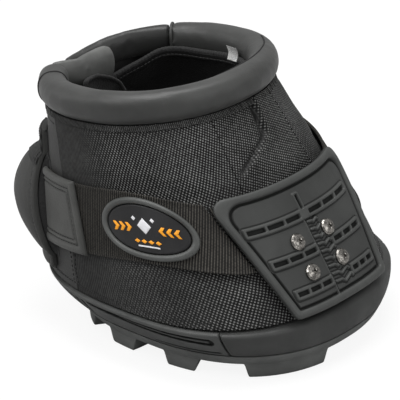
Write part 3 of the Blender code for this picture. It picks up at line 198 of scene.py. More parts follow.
# Stage
FLOOR_HALF = 6.0
WHITE = (1.0, 1.0, 1.0, 1.0)
AIM = Vector((0.0, 0.0, 0.07))
CAMERA_PLACE = (0.7430, -0.8981, 0.6010)
CAMERA_VIEW = (-0.5827, 0.6968, -0.4210)
CAMERA_UP = (-0.2904, 0.3584, 0.8873)
SENSOR, LENS = 36.0, 216.9

TOE_X = float(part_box("outsole")[1][0])
SHIFT = np.array((TOE_X - BAND[0], 0.0, 0.0))


# The boot's own surfaces, as functions of angle, share and distance

def smooth(value, start, end):
    """0 before start, 1 after end, and three times the square less twice the cube between."""
    share = np.clip((value - start) / (end - start), 0.0, 1.0)
    return share * share * (3 - 2 * share)


def ridge(distance, half, edge):
    """1 within half of a line and 0 beyond, falling smoothly across an edge."""
    return 1 - smooth(np.abs(distance), half - edge / 2, half + edge / 2)


def bell(distance, width):
    """1 on a line, falling on both sides as e to minus the square of the distance over the width."""
    return np.exp(-(distance / width) ** 2)


def unit(vectors):
    """Vectors scaled to length one."""
    return vectors / np.linalg.norm(vectors, axis=-1, keepdims=True)


def arc_along(path):
    """Length along a path up to each of its points."""
    return np.concatenate([[0], np.cumsum(np.linalg.norm(np.diff(path, axis=0), axis=1))])


def softened(values, reach, mode):
    """Values averaged under a raised cosine that reaches a number of samples each way."""
    kernel = np.hanning(2 * reach + 1) / np.hanning(2 * reach + 1).sum()
    return np.convolve(np.pad(values, reach, mode=mode), kernel, mode="valid")


def flat_place(x, y, z=0.0):
    """Flat coordinates of a surface, kept in its cloth attribute."""
    return np.stack(np.broadcast_arrays(x, y, z), -1)


def leaning(x, y, degrees):
    """Flat coordinates turned by an angle."""
    c, s = math.cos(math.radians(degrees)), math.sin(math.radians(degrees))
    return x * c - y * s, x * s + y * c


def squared_ring(turn, wide, tall):
    """Sideways and upward reach of a ring a little squarer than an ellipse: its waves to a power below 1."""
    squared = lambda wave: np.sign(wave) * np.abs(wave) ** ROLL_SQUARENESS
    return squared(np.cos(turn)) * wide, squared(np.sin(turn)) * tall


def oval_radius(turn, oval):
    """Radius of a superellipse whose front and rear reach and power differ."""
    front, rear, side, front_power, rear_power = oval
    cosine, sine = np.cos(turn), np.sin(turn)
    reach = np.where(cosine > 0, front, rear)
    power = np.where(cosine > 0, front_power, rear_power)
    return ((np.abs(cosine) / reach) ** power + (np.abs(sine) / side) ** power) ** (-1 / power)


def round_point(turn, radius, x, z):
    """A point at a radius and turn round a vertical line at x."""
    turn, radius, z = np.broadcast_arrays(turn, radius, z)
    return np.stack([x + radius * np.cos(turn), radius * np.sin(turn), z], -1)


def cup_point(turn, height, out):
    """The cup's wall: a straight line from the band to the upper, bulged by a parabola, pushed out."""
    turn, height, out = np.broadcast_arrays(turn, height, out)
    share = height / CUP_HEIGHT
    low = round_point(turn, oval_radius(turn, BAND) + out, 0.0, CUP_BASE)
    high = round_point(turn, oval_radius(turn, UPPER) + out, UPPER_X, UPPER_BASE)
    bulge = round_point(turn, CUP_BULGE * 4 * share * (1 - share), 0.0, 0.0)
    return low + (high - low) * share[..., None] + bulge


def collar_point(turn, out, rise):
    """Beside the collar's oval centre line: out across it and rise square to its tilted plane."""
    turn, out, rise = np.broadcast_arrays(turn, out, rise)
    radius = out + oval_radius(turn, COLLAR)
    along = radius * np.cos(turn)
    x = COLLAR_X + along * math.cos(COLLAR_TILT) - rise * math.sin(COLLAR_TILT)
    z = COLLAR_Z + along * math.sin(COLLAR_TILT) + rise * math.cos(COLLAR_TILT)
    return np.stack([x, radius * np.sin(turn), z], -1)


def wall_base(turn, share):
    """The upper's wall: a straight line from the cup's rim to the collar's foot, swollen at the toe."""
    turn, share = np.broadcast_arrays(turn, share)
    low = round_point(turn, oval_radius(turn, UPPER), UPPER_X, UPPER_BASE)
    high = collar_point(turn, 4.0 * MM, -8.3 * MM)
    swell = np.stack([np.cos(turn), np.sin(turn), 0.5 + 0 * turn], -1)
    ahead = np.clip(np.cos(turn), 0, 1) ** 2 * WALL_BULGE * 4 * share * (1 - share)
    return low + (high - low) * share[..., None] + swell * ahead[..., None]


def wall_normal(turn, share):
    """The wall's outward normal: the cross product of two small central differences."""
    step = 1e-4
    across = wall_base(turn + step, share) - wall_base(turn - step, share)
    upward = wall_base(turn, share + step) - wall_base(turn, share - step)
    return unit(np.cross(across, upward))


def wall_point(turn, share, out):
    """The wall's point moved out along its normal."""
    turn, share, out = np.broadcast_arrays(turn, share, out)
    return wall_base(turn, share) + wall_normal(turn, share) * out[..., None]


def wall_length(turn):
    """The straight distance from the cup's rim to the collar's foot."""
    turn = np.asarray(turn, float)
    return np.linalg.norm(wall_base(turn, 1 + 0 * turn) - wall_base(turn, 0 * turn), axis=-1)


TABLE_SHARES = np.linspace(-0.1, 1.2, 53)
TABLE_TURNS = np.radians(np.linspace(0.0, 215.0, 431))
TABLE_REACH = np.linspace(0.0, 0.32, 641)


def arc_table():
    """Arc length round the wall from the toe line, summed at each share over small turns."""
    points = wall_base(TABLE_TURNS[None, :], TABLE_SHARES[:, None])
    steps = np.linalg.norm(np.diff(points, axis=1), axis=-1)
    return np.concatenate([np.zeros((len(TABLE_SHARES), 1)), np.cumsum(steps, axis=1)], axis=1)


ARCS = arc_table()
TURN_AT = np.stack([np.interp(TABLE_REACH, row, TABLE_TURNS) for row in ARCS])
MIDDLE_ARCS = ARCS[len(TABLE_SHARES) // 2]


def turn_at(distance, share):
    """Turn at a signed arc length from the toe line, blended between the table's four neighbours."""
    distance, share = np.broadcast_arrays(np.asarray(distance, float), np.asarray(share, float))
    last_row, last_column = len(TABLE_SHARES) - 1.001, len(TABLE_REACH) - 1.001
    row = np.clip((share - TABLE_SHARES[0]) / (TABLE_SHARES[1] - TABLE_SHARES[0]), 0, last_row)
    column = np.clip(np.abs(distance) / TABLE_REACH[1], 0, last_column)
    i, j = row.astype(int), column.astype(int)
    down, along = row - i, column - j
    low = TURN_AT[i, j] * (1 - along) + TURN_AT[i, j + 1] * along
    high = TURN_AT[i + 1, j] * (1 - along) + TURN_AT[i + 1, j + 1] * along
    return np.sign(distance) * (low * (1 - down) + high * down)


def arc_to(degrees, share):
    """Signed arc length from the toe line to an angle at a share."""
    row = int(round((share - TABLE_SHARES[0]) / (TABLE_SHARES[1] - TABLE_SHARES[0])))
    return math.copysign(float(np.interp(abs(math.radians(degrees)), TABLE_TURNS, ARCS[row])), degrees)


def weave_strength(turn, share):
    """How clearly the weave shows: worn smooth towards the near heel, and further forward below the strap;
    below zero along the front fold, for a painted shade in its crease.
    """
    degrees = np.degrees(turn)
    above = smooth(degrees, -98.0, -72.0)
    below = 0.42 * smooth(degrees, -100.0, -75.0) + 0.45 * smooth(degrees, -72.0, -42.0)
    strength = below + (above - below) * smooth(share, 0.35, 0.6)
    crease = bell(crease_ahead(turn, share) + FOLD_SHIFT, 1.9 * MM) * smooth(share, *FOLD_SPAN)
    # painted shade: a band along the fold's dent that pushes the strength below zero, where the weave is
    # painted near black
    crease_shade = crease * (0.75 + 0.45 * np.sin(share * 62 + 1.0)) * (np.abs(degrees) < 40)
    even = (np.abs(degrees) > HEEL_SEAM + 1) | (degrees > 20)
    return np.where(even, 1.0, strength) - 1.8 * crease_shade


def crease_ahead(turn, share):
    """Distance ahead of the slanting fold line beside the shield."""
    return (np.degrees(turn) - np.interp(share, FOLD_SHARES, FOLD_ANGLES)) * FOLD_DEGREE


def cloth_place(turn, share, lean):
    """Flat place on a panel: arc at mid height and distance up the wall, turned by the weave's lean."""
    turn, share = np.broadcast_arrays(turn, share)
    x = np.sign(turn) * np.interp(np.abs(turn), TABLE_TURNS, MIDDLE_ARCS)
    return flat_place(*leaning(x, share * wall_length(turn), lean), weave_strength(turn, share))


def strap_curve():
    """The strap's centre line: cubic pieces through its levels with central slopes."""
    xs, ys = np.array(STRAP_LEVELS).T
    slopes = np.gradient(ys, xs)
    x = np.linspace(xs[0], xs[-1], 60)
    i = np.clip(np.searchsorted(xs, x, side="right") - 1, 0, len(xs) - 2)
    width = xs[i + 1] - xs[i]
    u = (x - xs[i]) / width
    y = (ys[i] * (1 + 2 * u) * (1 - u) ** 2 + slopes[i] * width * u * (1 - u) ** 2
         + ys[i + 1] * u * u * (3 - 2 * u) + slopes[i + 1] * width * u * u * (u - 1))
    return x, y


STRAP_X, STRAP_Y = strap_curve()


def strap_level(turn):
    return np.interp(np.abs(np.degrees(turn)), STRAP_X, STRAP_Y)


def strap_lift(turn):
    """Stand-off of the strap's inner face, growing evenly from the hinge to the shield."""
    share = (HINGE_ANGLE - np.abs(np.degrees(turn))) / (HINGE_ANGLE - STRAP_FRONT)
    return GAP + (2.0 * MM - GAP) * np.clip(share, 0, 1)


def strap_place(x, y, z):
    """Strap coordinates: x round the boot, y across the strap, z off its inner face."""
    turn = turn_at(x, STRAP_SHARE)
    return wall_point(turn, strap_level(turn) + y / wall_length(turn), strap_lift(turn) + z)


TOE_LENGTH = float(wall_length(0.0))


def front_place(x, y, z):
    """Front coordinates: x arc from the toe line, y up the toe line, z out of the wall."""
    share = np.asarray(y, float) / TOE_LENGTH
    return wall_point(turn_at(x, share), share, z)


# Meshes from arrays

def loft(sections, cloth=None, loop=False, ends="strip"):
    """Closed rings joined in order: quads between rings, ends closed by strips across or by a pole."""
    count, size = sections.shape[:2]
    index = np.arange(count * size).reshape(count, size)
    rows = np.vstack([index, index[:1]]) if loop else index
    low, high = rows[:-1], rows[1:]
    quads = [np.stack([low, np.roll(low, -1, 1), np.roll(high, -1, 1), high], -1).reshape(-1, 4)]
    points, triangles = sections.reshape(-1, 3), np.zeros((0, 3), int)
    places = None if cloth is None else cloth.reshape(-1, 3)
    if not loop and ends == "strip":
        k = np.arange(size // 2 - 1)
        for ring, order in ((index[0], -1), (index[-1], 1)):
            strip = [ring[k], ring[k + 1], ring[size - 2 - k], ring[size - 1 - k]]
            quads.append(np.stack(strip, -1)[:, ::order])
    elif not loop:
        poles = count * size + np.arange(2)
        points = np.vstack([points, sections[[0, -1]].mean(axis=1)])
        if cloth is not None:
            places = np.vstack([places, cloth[[0, -1]].mean(axis=1)])
        first, last = index[0], index[-1]
        triangles = np.vstack([np.stack([np.roll(first, -1), first, 0 * first + poles[0]], -1),
                               np.stack([last, np.roll(last, -1), 0 * last + poles[1]], -1)])
    return points, np.vstack(quads), triangles, places


def shell(outer, inner, flat=None, loop=False):
    """A closed layer: rings that run along its outer face and back along its inner one."""
    there_and_back = lambda face, back: np.concatenate([face, back[:, ::-1]], 1)
    return loft(there_and_back(outer, inner), None if flat is None else there_and_back(flat, flat), loop)


def plaque(place, x, y, top, bottom, edge=0.4 * MM):
    """A relief on a grid, closed behind by loops that shrink from its border to a pole."""
    count, size = x.shape
    index = np.arange(x.size).reshape(x.shape)
    quads = [np.stack([index[:-1, :-1], index[:-1, 1:], index[1:, 1:], index[1:, :-1]], -1).reshape(-1, 4)]
    border = np.concatenate([index[0, :-1], index[:-1, -1], index[-1, :0:-1], index[:0:-1, 0]])
    bx, by = x.ravel()[border], y.ravel()[border]
    cx, cy = bx.mean(), by.mean()
    reach = math.hypot(np.ptp(bx), np.ptp(by)) / 2
    flat = [np.stack([x, y, top], -1).reshape(-1, 3)]
    start, last = x.size, border
    levels = [(1.0, bottom + edge)] + [(scale, bottom) for scale in (1 - edge / reach, 0.75, 0.5, 0.25)]
    for scale, z in levels:
        flat.append(np.stack([cx + (bx - cx) * scale, cy + (by - cy) * scale, 0 * bx + z], -1))
        ring = start + np.arange(len(border))
        quads.append(np.stack([last, ring, np.roll(ring, -1), np.roll(last, -1)], -1))
        start, last = start + len(border), ring
    flat.append(np.array([[cx, cy, bottom]]))
    triangles = np.stack([last, 0 * last + start, np.roll(last, -1)], -1)
    flat = np.vstack(flat)
    return place(flat[:, 0], flat[:, 1], flat[:, 2]), np.vstack(quads), triangles, flat


def merge(forms):
    """Several closed shells as one form, each one's indices moved past those before it."""
    points, quads, triangles, places, start = [], [], [], [], 0
    for p, q, t, c in forms:
        points.append(p)
        quads.append(q + start)
        triangles.append(t + start)
        places.append(p if c is None else c)
        start += len(p)
    return np.vstack(points), np.vstack(quads), np.vstack(triangles), np.vstack(places)


def outward(points, quads, triangles):
    """Faces turned so that the signed volume, a sum of corner triple products, is positive."""
    corners = np.vstack([quads[:, [0, 1, 2]], quads[:, [0, 2, 3]], triangles])
    a, b, c = (points[corners[:, i]] for i in range(3))
    volume = np.einsum("ij,ij->i", a, np.cross(b, c)).sum()
    return (quads, triangles) if volume > 0 else (quads[:, ::-1], triangles[:, ::-1])


def new_piece(name, form, finish, body, nodes=(), sharp=None):
    """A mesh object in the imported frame, riding on its body and standing for its CAD nodes."""
    points, quads, triangles, places = form
    quads, triangles = outward(points - points.mean(axis=0), quads, triangles)
    mesh = bpy.data.meshes.new(name)
    mesh.from_pydata((points + SHIFT).tolist(), [], quads.tolist() + triangles.tolist())
    if places is not None:
        layer = mesh.attributes.new("cloth", "FLOAT_VECTOR", "POINT")
        layer.data.foreach_set("vector", np.ascontiguousarray(places, np.float32).ravel())
    mesh.materials.append(finish)
    mesh.shade_smooth()
    if sharp:
        mesh.set_sharp_from_angle(angle=math.radians(sharp))
    obj = bpy.data.objects.new(name, mesh)
    bpy.context.scene.collection.objects.link(obj)
    if body:
        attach(obj, body)
    if nodes:
        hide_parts(*nodes)
    return obj


def rounded(side, end, radius):
    """Fall of a face near its edges: a quarter circle of the distance past the inset edge."""
    away = np.hypot(np.clip(radius - side, 0, radius), np.clip(radius - end, 0, radius))
    return radius - np.sqrt(radius ** 2 - np.minimum(away, radius) ** 2)


def edge_drop(x, y, x_ends, y_ends, radius):
    """The same fall for a slab between two ends each way."""
    return rounded(np.minimum(x - x_ends[0], x_ends[1] - x), np.minimum(y - y_ends[0], y_ends[1] - y), radius)


def bend_ends(*places):
    """Where a bend starts and ends, each given as an angle, a share and a height off the wall."""
    return [tuple(map(float, wall_point(math.radians(angle), share, out) + SHIFT))
            for angle, share, out in places]


def even_ends(low, high, count, edge):
    """Samples from low to high, closer together within an edge of both ends."""
    near = edge * (1 - np.cos(np.linspace(0, math.pi / 2, 6)[:-1]))
    return np.concatenate([low + near, np.linspace(low + edge, high - edge, count), (high - near)[::-1]])


def slab(place, x, y, thick, radius, relief=None):
    """A soft-edged band in flat coordinates: its outer face with relief, its inner face plain."""
    gx, gy = np.meshgrid(x, y, indexing="ij")
    ends = (x[0], x[-1]), (y[0], y[-1])
    top = thick - edge_drop(gx, gy, *ends, radius) + (0 if relief is None else relief(gx, gy))
    low = edge_drop(gx, gy, *ends, min(radius, thick - radius))
    return shell(place(gx, gy, top), place(gx, gy, low), flat_place(gx, gy))


def tube(path, normals, radius, sides=12, loop=False):
    """A round bead along a path: each ring is the normal and the side turned about the tangent."""
    tangent = unit(np.roll(path, -1, 0) - np.roll(path, 1, 0) if loop else np.gradient(path, axis=0))
    side = unit(np.cross(tangent, normals))
    up = np.cross(side, tangent)
    turn = np.linspace(0, 2 * math.pi, sides, endpoint=False)
    radius = np.broadcast_to(radius, len(path))[:, None, None]
    across, out = np.cos(turn)[None, :, None], np.sin(turn)[None, :, None]
    rings = path[:, None] + radius * (across * side[:, None] + out * up[:, None])
    flat = flat_place(arc_along(path)[:, None], turn[None] * float(radius.max()))
    if loop:
        return loft(rings, flat, loop=True)
    cap = np.sin(np.radians((8.0, 35.0, 62.0)))[:, None, None]
    first = path[0] - tangent[0] * radius[0, 0, 0] * 0.9
    final = path[-1] + tangent[-1] * radius[-1, 0, 0] * 0.9
    start, end = first + (rings[0] - first) * cap, final + (rings[-1] - final) * cap[::-1]
    flats = [np.repeat(flat[:1], len(cap), 0), flat, np.repeat(flat[-1:], len(cap), 0)]
    return loft(np.concatenate([start, rings, end]), np.concatenate(flats), ends="pole")


def stitches(path, normals, sizes, scale=1.0):
    """Thread stitches: one small capsule repeated at even arc lengths, bowed into the cloth at its ends."""
    length, radius = sizes.stitch_length, sizes.thread_radius * scale
    arc = arc_along(path)
    centres = np.arange(sizes.stitch_spacing / 2, arc[-1], sizes.stitch_spacing)
    at = lambda values, s: np.stack([np.interp(s, arc, values[:, k]) for k in range(3)], -1)
    middle, normal = at(path, centres), at(normals, centres)
    tangent = unit(at(path, centres + length / 4) - at(path, centres - length / 4))
    side = np.cross(normal, tangent)
    lat = np.radians(np.linspace(-75, 75, 5))[:, None]
    turn = np.linspace(0, 2 * math.pi, 6, endpoint=False)[None, :]
    girth, bow = radius * np.cos(lat) ** 0.5, radius * (0.6 - 1.6 * np.sin(lat) ** 2)
    local = flat_place(np.sin(lat) * length / 2, girth * np.cos(turn), girth * np.sin(turn) + bow)
    base, quads, triangles, _ = loft(local, ends="pole")
    rings = (middle[:, None] + base[None, :, :1] * tangent[:, None] + base[None, :, 1:2] * side[:, None]
             + base[None, :, 2:] * normal[:, None])
    offset = (np.arange(len(centres)) * len(base))[:, None, None]
    repeated = lambda faces: (faces[None] + offset).reshape(-1, faces.shape[1])
    return rings.reshape(-1, 3), repeated(quads), repeated(triangles), np.tile(base, (len(centres), 1))


def stitch_row(place, out, sizes, scale=1.0):
    """Stitches along a line that place gives at any height off a surface."""
    path = place(out)
    return stitches(path, unit(place(out + 1 * MM) - path), sizes, scale)


def wall_stitches(turn, share, out, sizes):
    """Stitches along a line on the wall."""
    return stitch_row(lambda height: wall_point(turn, share, height), out, sizes)


# Finishes

def node(tree, kind, links=(), **settings):
    made = tree.nodes.new(kind)
    for key, value in settings.items():
        setattr(made, key, value)
    for key, value in dict(links).items():
        socket = made.inputs[key]
        if isinstance(value, bpy.types.NodeSocket):
            tree.links.new(value, socket)
        else:
            socket.default_value = value
    return made


def maths(tree, operation, *values):
    return node(tree, "ShaderNodeMath", enumerate(values), operation=operation).outputs[0]


def ramp(tree, factor, stops):
    """Colours at positions along a factor."""
    made = node(tree, "ShaderNodeValToRGB", {"Fac": factor})
    made.color_ramp.interpolation = "EASE"
    elements = made.color_ramp.elements
    while len(elements) < len(stops):
        elements.new(0.5)
    for element, (position, colour) in zip(elements, stops):
        element.position = position
        element.color = (*colour, 1.0)
    return made.outputs[0]


def grey(level):
    return (level,) * 3


def shade(colour, factor=1.0):
    """A colour as plain numbers, made lighter or darker by a factor."""
    return tuple(factor * value for value in colour)


def mixed(tree, factor, low, high, blend="MIX"):
    """Two colours blended by a factor, each three numbers or another node's output."""
    low, high = (c if isinstance(c, bpy.types.NodeSocket) else (*c, 1.0) for c in (low, high))
    made = node(tree, "ShaderNodeMix", {0: factor, 6: low, 7: high}, data_type="RGBA", blend_type=blend)
    return made.outputs[2]


def map_range(tree, value, low, high, to_low=0.0, to_high=1.0):
    ends = {"From Min": low, "From Max": high, "To Min": to_low, "To Max": to_high}
    return node(tree, "ShaderNodeMapRange", {"Value": value, **ends}).outputs[0]


def tinted(tree, colour, factor, low, high):
    """A colour multiplied by a grey that runs from low to high with the factor."""
    return mixed(tree, 1.0, colour, ramp(tree, factor, ((0.3, grey(low)), (0.7, grey(high)))), "MULTIPLY")


def bump(tree, height, distance, normal=None, strength=1.0):
    made = node(tree, "ShaderNodeBump", {"Height": height, "Distance": distance, "Strength": strength})
    if normal is not None:
        tree.links.new(normal, made.inputs["Normal"])
    return made.outputs[0]


def noise(tree, vector, scale, detail=3.0, rough=0.55):
    return node(tree, "ShaderNodeTexNoise", {"Vector": vector, "Scale": scale, "Detail": detail,
                                             "Roughness": rough}).outputs[0]


def new_finish(name, roughness, **sockets):
    """A node material with its constants on the shader; gives it, its tree, shader and coordinates."""
    material = bpy.data.materials.new(name)
    material.use_nodes = True
    tree = material.node_tree
    shader = tree.nodes["Principled BSDF"]
    shader.inputs["Roughness"].default_value = roughness
    named = {socket.name.lower().replace(" ", "_"): socket for socket in shader.inputs}
    for key, value in sockets.items():
        named[key].default_value = value
    place = node(tree, "ShaderNodeTexCoord").outputs["Object"]
    return material, tree, shader, place


def set_look(tree, shader, colour, normal=None, roughness=None):
    for key, value in (("Base Color", colour), ("Normal", normal), ("Roughness", roughness)):
        if value is not None:
            tree.links.new(value, shader.inputs[key])


def rubber(name, colour, roughness, grain=0.06 * MM, spread=(0.8, 1.15)):
    """Moulded rubber: faint mottling, a matt grain, uneven gloss, painted shade and less gloss in hollows,
    painted highlight on raised work.
    """
    material, tree, shader, place = new_finish(name, roughness, specular_ior_level=0.45)
    depth, _, _ = cloth_xyz(tree, 1.0)
    # painted shade: less specular gloss where the relief kept in the cloth attribute is sunk
    shine = map_range(tree, depth, -0.55 * MM, -0.05 * MM, 0.1, 0.45)
    tree.links.new(shine, shader.inputs["Specular IOR Level"])
    # painted shade and highlight: the colour falls to half in sunk relief and rises to 1.4 times on raised
    # relief
    stops = tuple((at, grey(level)) for at, level in ((0.0, 0.5), (0.38, 0.66), (0.5, 1.0), (1.0, 1.4)))
    hollows = ramp(tree, map_range(tree, depth, -0.7 * MM, 0.7 * MM), stops)
    mottled = tinted(tree, colour, noise(tree, place, 55.0, 5.0), *spread)
    colour = mixed(tree, 1.0, mottled, hollows, "MULTIPLY")
    rough = map_range(tree, noise(tree, place, 130.0), 0.3, 0.7, roughness - 0.06, roughness + 0.08)
    set_look(tree, shader, colour, bump(tree, noise(tree, place, 2200.0, 2.0), grain), rough)
    return material


def hide(name, colour, roughness, grain=0.12 * MM, cell=1500.0):
    """Synthetic leather: pebbled cells from distances to scattered points, with soft broad mottling."""
    material, tree, shader, place = new_finish(name, roughness, specular_ior_level=0.5, sheen_weight=0.08,
                                               sheen_roughness=0.5)
    points = {"Vector": place, "Scale": cell}
    cells = node(tree, "ShaderNodeTexVoronoi", points, feature="SMOOTH_F1").outputs[0]
    normal = bump(tree, noise(tree, place, 260.0, 4.0, 0.65), 0.25 * MM, bump(tree, cells, grain), 0.5)
    set_look(tree, shader, tinted(tree, colour, noise(tree, place, 40.0, 4.0), 0.8, 1.2), normal)
    return material


def cloth_xyz(tree, pitch):
    """The cloth attribute's third value as it is, and its first two divided by a thread pitch."""
    place = node(tree, "ShaderNodeAttribute", attribute_name="cloth").outputs["Vector"]
    divisor = {0: place, 1: (1 / pitch,) * 3}
    scaled = node(tree, "ShaderNodeVectorMath", divisor, operation="MULTIPLY").outputs[0]
    apart = node(tree, "ShaderNodeSeparateXYZ", {0: scaled}).outputs
    return node(tree, "ShaderNodeSeparateXYZ", {0: place}).outputs[2], apart[0], apart[1]


def waves(tree, value):
    """Cosine of one whole turn per thread."""
    return maths(tree, "COSINE", maths(tree, "MULTIPLY", value, 2 * math.pi))


def woven(name, dark, light, pitch, stretch=1.0):
    """Heavy basket weave: light thread crests where two cosines meet, dark wells, worn smooth in places, and
    painted near-black shade along the front fold's crease.
    """
    material, tree, shader, place = new_finish(name, 0.62, specular_ior_level=0.2)
    strength, x, y = cloth_xyz(tree, pitch)
    wander = maths(tree, "MULTIPLY_ADD", noise(tree, place, 30.0, 2.0), 1.2, -0.6)
    x, y = maths(tree, "ADD", x, wander), maths(tree, "MULTIPLY_ADD", y, stretch, wander)
    crest = maths(tree, "MULTIPLY_ADD", maths(tree, "ADD", waves(tree, x), waves(tree, y)), 0.25, 0.5)
    uneven = maths(tree, "MULTIPLY_ADD", noise(tree, place, 520.0, 2.0), 0.8, -0.4)
    height = maths(tree, "MULTIPLY_ADD", uneven, 0.6, crest)
    faint = maths(tree, "MULTIPLY_ADD", noise(tree, place, 22.0, 3.0), 1.5, 0.15)
    shown = node(tree, "ShaderNodeClamp", {"Value": maths(tree, "MULTIPLY", strength, faint)}).outputs[0]
    middle = tuple(0.6 * d + 0.4 * l for d, l in zip(dark, light))
    stops = ((0.32, shade(dark, 0.2)), (0.56, shade(dark, 0.7)), (0.74, middle), (0.95, light))
    dots = ramp(tree, height, stops)
    upright = node(tree, "ShaderNodeAttribute", attribute_name="cloth").outputs["Vector"]
    lines = node(tree, "ShaderNodeVectorRotate", {"Vector": upright, "Angle": math.radians(-28.0)},
                 rotation_type="Z_AXIS").outputs[0]
    column = node(tree, "ShaderNodeSeparateXYZ", {0: lines}).outputs[0]
    rib = waves(tree, maths(tree, "MULTIPLY", column, 1 / (1.3 * MM)))
    fibre = maths(tree, "MULTIPLY_ADD", uneven, 0.9, maths(tree, "MULTIPLY_ADD", rib, 0.28, 0.5))
    plain = ramp(tree, fibre, ((0.15, shade(dark, 0.7)), (0.9, shade(dark, 3.5))))
    colour = tinted(tree, mixed(tree, shown, plain, dots), noise(tree, place, 28.0, 3.0), 0.78, 1.2)
    # painted shade: as the weave strength falls from 0.1 to -0.8, along the front fold's crease, the colour
    # turns near black
    colour = mixed(tree, map_range(tree, strength, -0.8, 0.1), grey(0.006), colour)
    set_look(tree, shader, colour, bump(tree, maths(tree, "MULTIPLY", height, shown), 0.3 * MM))
    return material


def ribbed(name, dark, light, pitch):
    """Webbing: ribs across its length, each a row of small flecks that alternate from rib to rib."""
    material, tree, shader, place = new_finish(name, 0.7, specular_ior_level=0.35)
    _, x, y = cloth_xyz(tree, pitch)
    rib = maths(tree, "MULTIPLY_ADD", waves(tree, x), 0.5, 0.5)
    odd = maths(tree, "MULTIPLY", maths(tree, "FLOOR", maths(tree, "ADD", x, 0.5)), math.pi)
    fleck = maths(tree, "COSINE", maths(tree, "MULTIPLY_ADD", y, 2 * math.pi * 0.8, odd))
    uneven = maths(tree, "MULTIPLY_ADD", noise(tree, place, 500.0, 2.0), 0.6, -0.3)
    height = maths(tree, "MULTIPLY_ADD", rib, maths(tree, "MULTIPLY_ADD", fleck, 0.1, 0.9), uneven)
    colour = ramp(tree, height, ((0.1, shade(dark, 0.4)), (0.5, dark), (0.9, light)))
    colour = tinted(tree, colour, noise(tree, place, 35.0, 3.0), 0.75, 1.2)
    set_look(tree, shader, colour, bump(tree, height, 0.25 * MM))
    return material


def fuzzy(name, colour, scale=1800.0, roughness=0.85):
    """Knit or pile: fine scattered fibres, broad soft shading and a little sheen."""
    material, tree, shader, place = new_finish(name, roughness, specular_ior_level=0.25, sheen_weight=0.12,
                                               sheen_roughness=0.6)
    fibres = noise(tree, place, scale, 4.0, 0.7)
    cells = node(tree, "ShaderNodeTexVoronoi", {"Vector": place, "Scale": scale * 0.55}).outputs[0]
    height = maths(tree, "ADD", fibres, cells)
    tint = tinted(tree, colour, noise(tree, place, 60.0), 0.7, 1.3)
    set_look(tree, shader, tinted(tree, tint, fibres, 0.6, 1.5), bump(tree, height, 0.2 * MM))
    return material


def twisted(name, colour):
    """Sewing thread: slanting plies from a cosine of length and side."""
    material, tree, shader, place = new_finish(name, 0.55, specular_ior_level=0.4)
    _, x, y = cloth_xyz(tree, 0.35 * MM)
    ply = maths(tree, "MULTIPLY_ADD", waves(tree, maths(tree, "ADD", x, y)), 0.5, 0.5)
    set_look(tree, shader, tinted(tree, colour, ply, 0.75, 1.15), bump(tree, ply, 0.05 * MM))
    return material


def metal(name, colour):
    """Plated steel: bright, with fine scratches and a little dulling in spots."""
    material, tree, shader, place = new_finish(name, 0.22, metallic=1.0)
    spots = noise(tree, place, 700.0, 4.0)
    scratches = bump(tree, noise(tree, place, 3000.0, 2.0, 0.5), 0.04 * MM)
    rough = map_range(tree, spots, 0.35, 0.7, 0.14, 0.42)
    set_look(tree, shader, tinted(tree, colour, spots, 1.25, 0.3), scratches, rough)
    return material


FINISHES = {}


def make_finishes(colours, sizes):
    """Every finish of the boot, from the panel's colours and sizes."""
    wells, crests, shield = (shade(c) for c in (colours.weave_dark, colours.weave_light, colours.shield))
    hollows, ribs = shade(colours.webbing_dark), shade(colours.webbing_light)
    fine = (0.05 * MM, 2200.0)
    FINISHES.update(
        # painted light: one rubber colour made 4.2, 2.3 and 1.5 times lighter for tread, cup and bumper,
        # standing in for the light each part gets
        outsole=rubber("tread_rubber", shade(colours.rubber, 4.2), 0.6),
        cup=rubber("cup_rubber", shade(colours.rubber, 2.3), 0.5),
        bumper=rubber("bumper_rubber", shade(colours.rubber, 1.5), 0.5),
        insole=rubber("foam", grey(0.03), 0.8, 0.2 * MM),
        woven=woven("basket_weave", wells, crests, sizes.weave_pitch),
        band=woven("gathered_weave", wells, crests, sizes.weave_pitch * 0.8, 1.6),
        heel_cloth=hide("coated_cloth", shade(colours.heel_cloth), 0.6),
        collar=hide("collar_hide", shade(colours.collar), 0.42, *fine),
        # painted light: the tongue is the collar's colour made 2.6 times lighter, as if well lit; painted
        # shade: the far flap roll takes it at 0.6, as if in shade
        tongue=hide("tongue_hide", shade(colours.collar, 2.6), 0.45, *fine),
        flap=hide("flap_hide", shade(colours.collar, 0.6), 0.42, *fine),
        liner=fuzzy("knit_lining", grey(0.012)),
        binding=fuzzy("edge_tape", grey(0.014), 1200.0, 0.7),
        sling=hide("sling_hide", shade(colours.sling), 0.5),
        keeper=hide("keeper_hide", shade(colours.sling, 0.45), 0.6),
        keeper_cap=woven("keeper_weave", shade(wells, 1.5), crests, sizes.weave_pitch),
        webbing=ribbed("strap_webbing", hollows, ribs, sizes.rib_pitch),
        hook_and_loop=fuzzy("hook_and_loop_pile", grey(0.014), 900.0),
        badge_rim=rubber("badge_frame_rubber", shade(shield, 1.95), 0.42),
        badge_insert=rubber("badge_field_rubber", (0.022, 0.022, 0.023), 0.45),
        shield=rubber("shield_rubber", shield, 0.47, 0.05 * MM, (0.88, 1.1)),
        steel=metal("plated_steel", (0.42, 0.4, 0.37)),
        tag=fuzzy("tag_cloth", (0.95, 0.95, 0.94), 2500.0, 0.8),
        thread=twisted("black_thread", grey(0.018)),
        pale_thread=twisted("grey_thread", grey(0.05)),
        orange=rubber("orange_inlay", shade(colours.orange), 0.45, 0.03 * MM, (0.9, 1.1)),
        white=rubber("pale_inlay", (0.72, 0.72, 0.74), 0.5, 0.03 * MM, (0.9, 1.05)),
    )


# Sole pieces

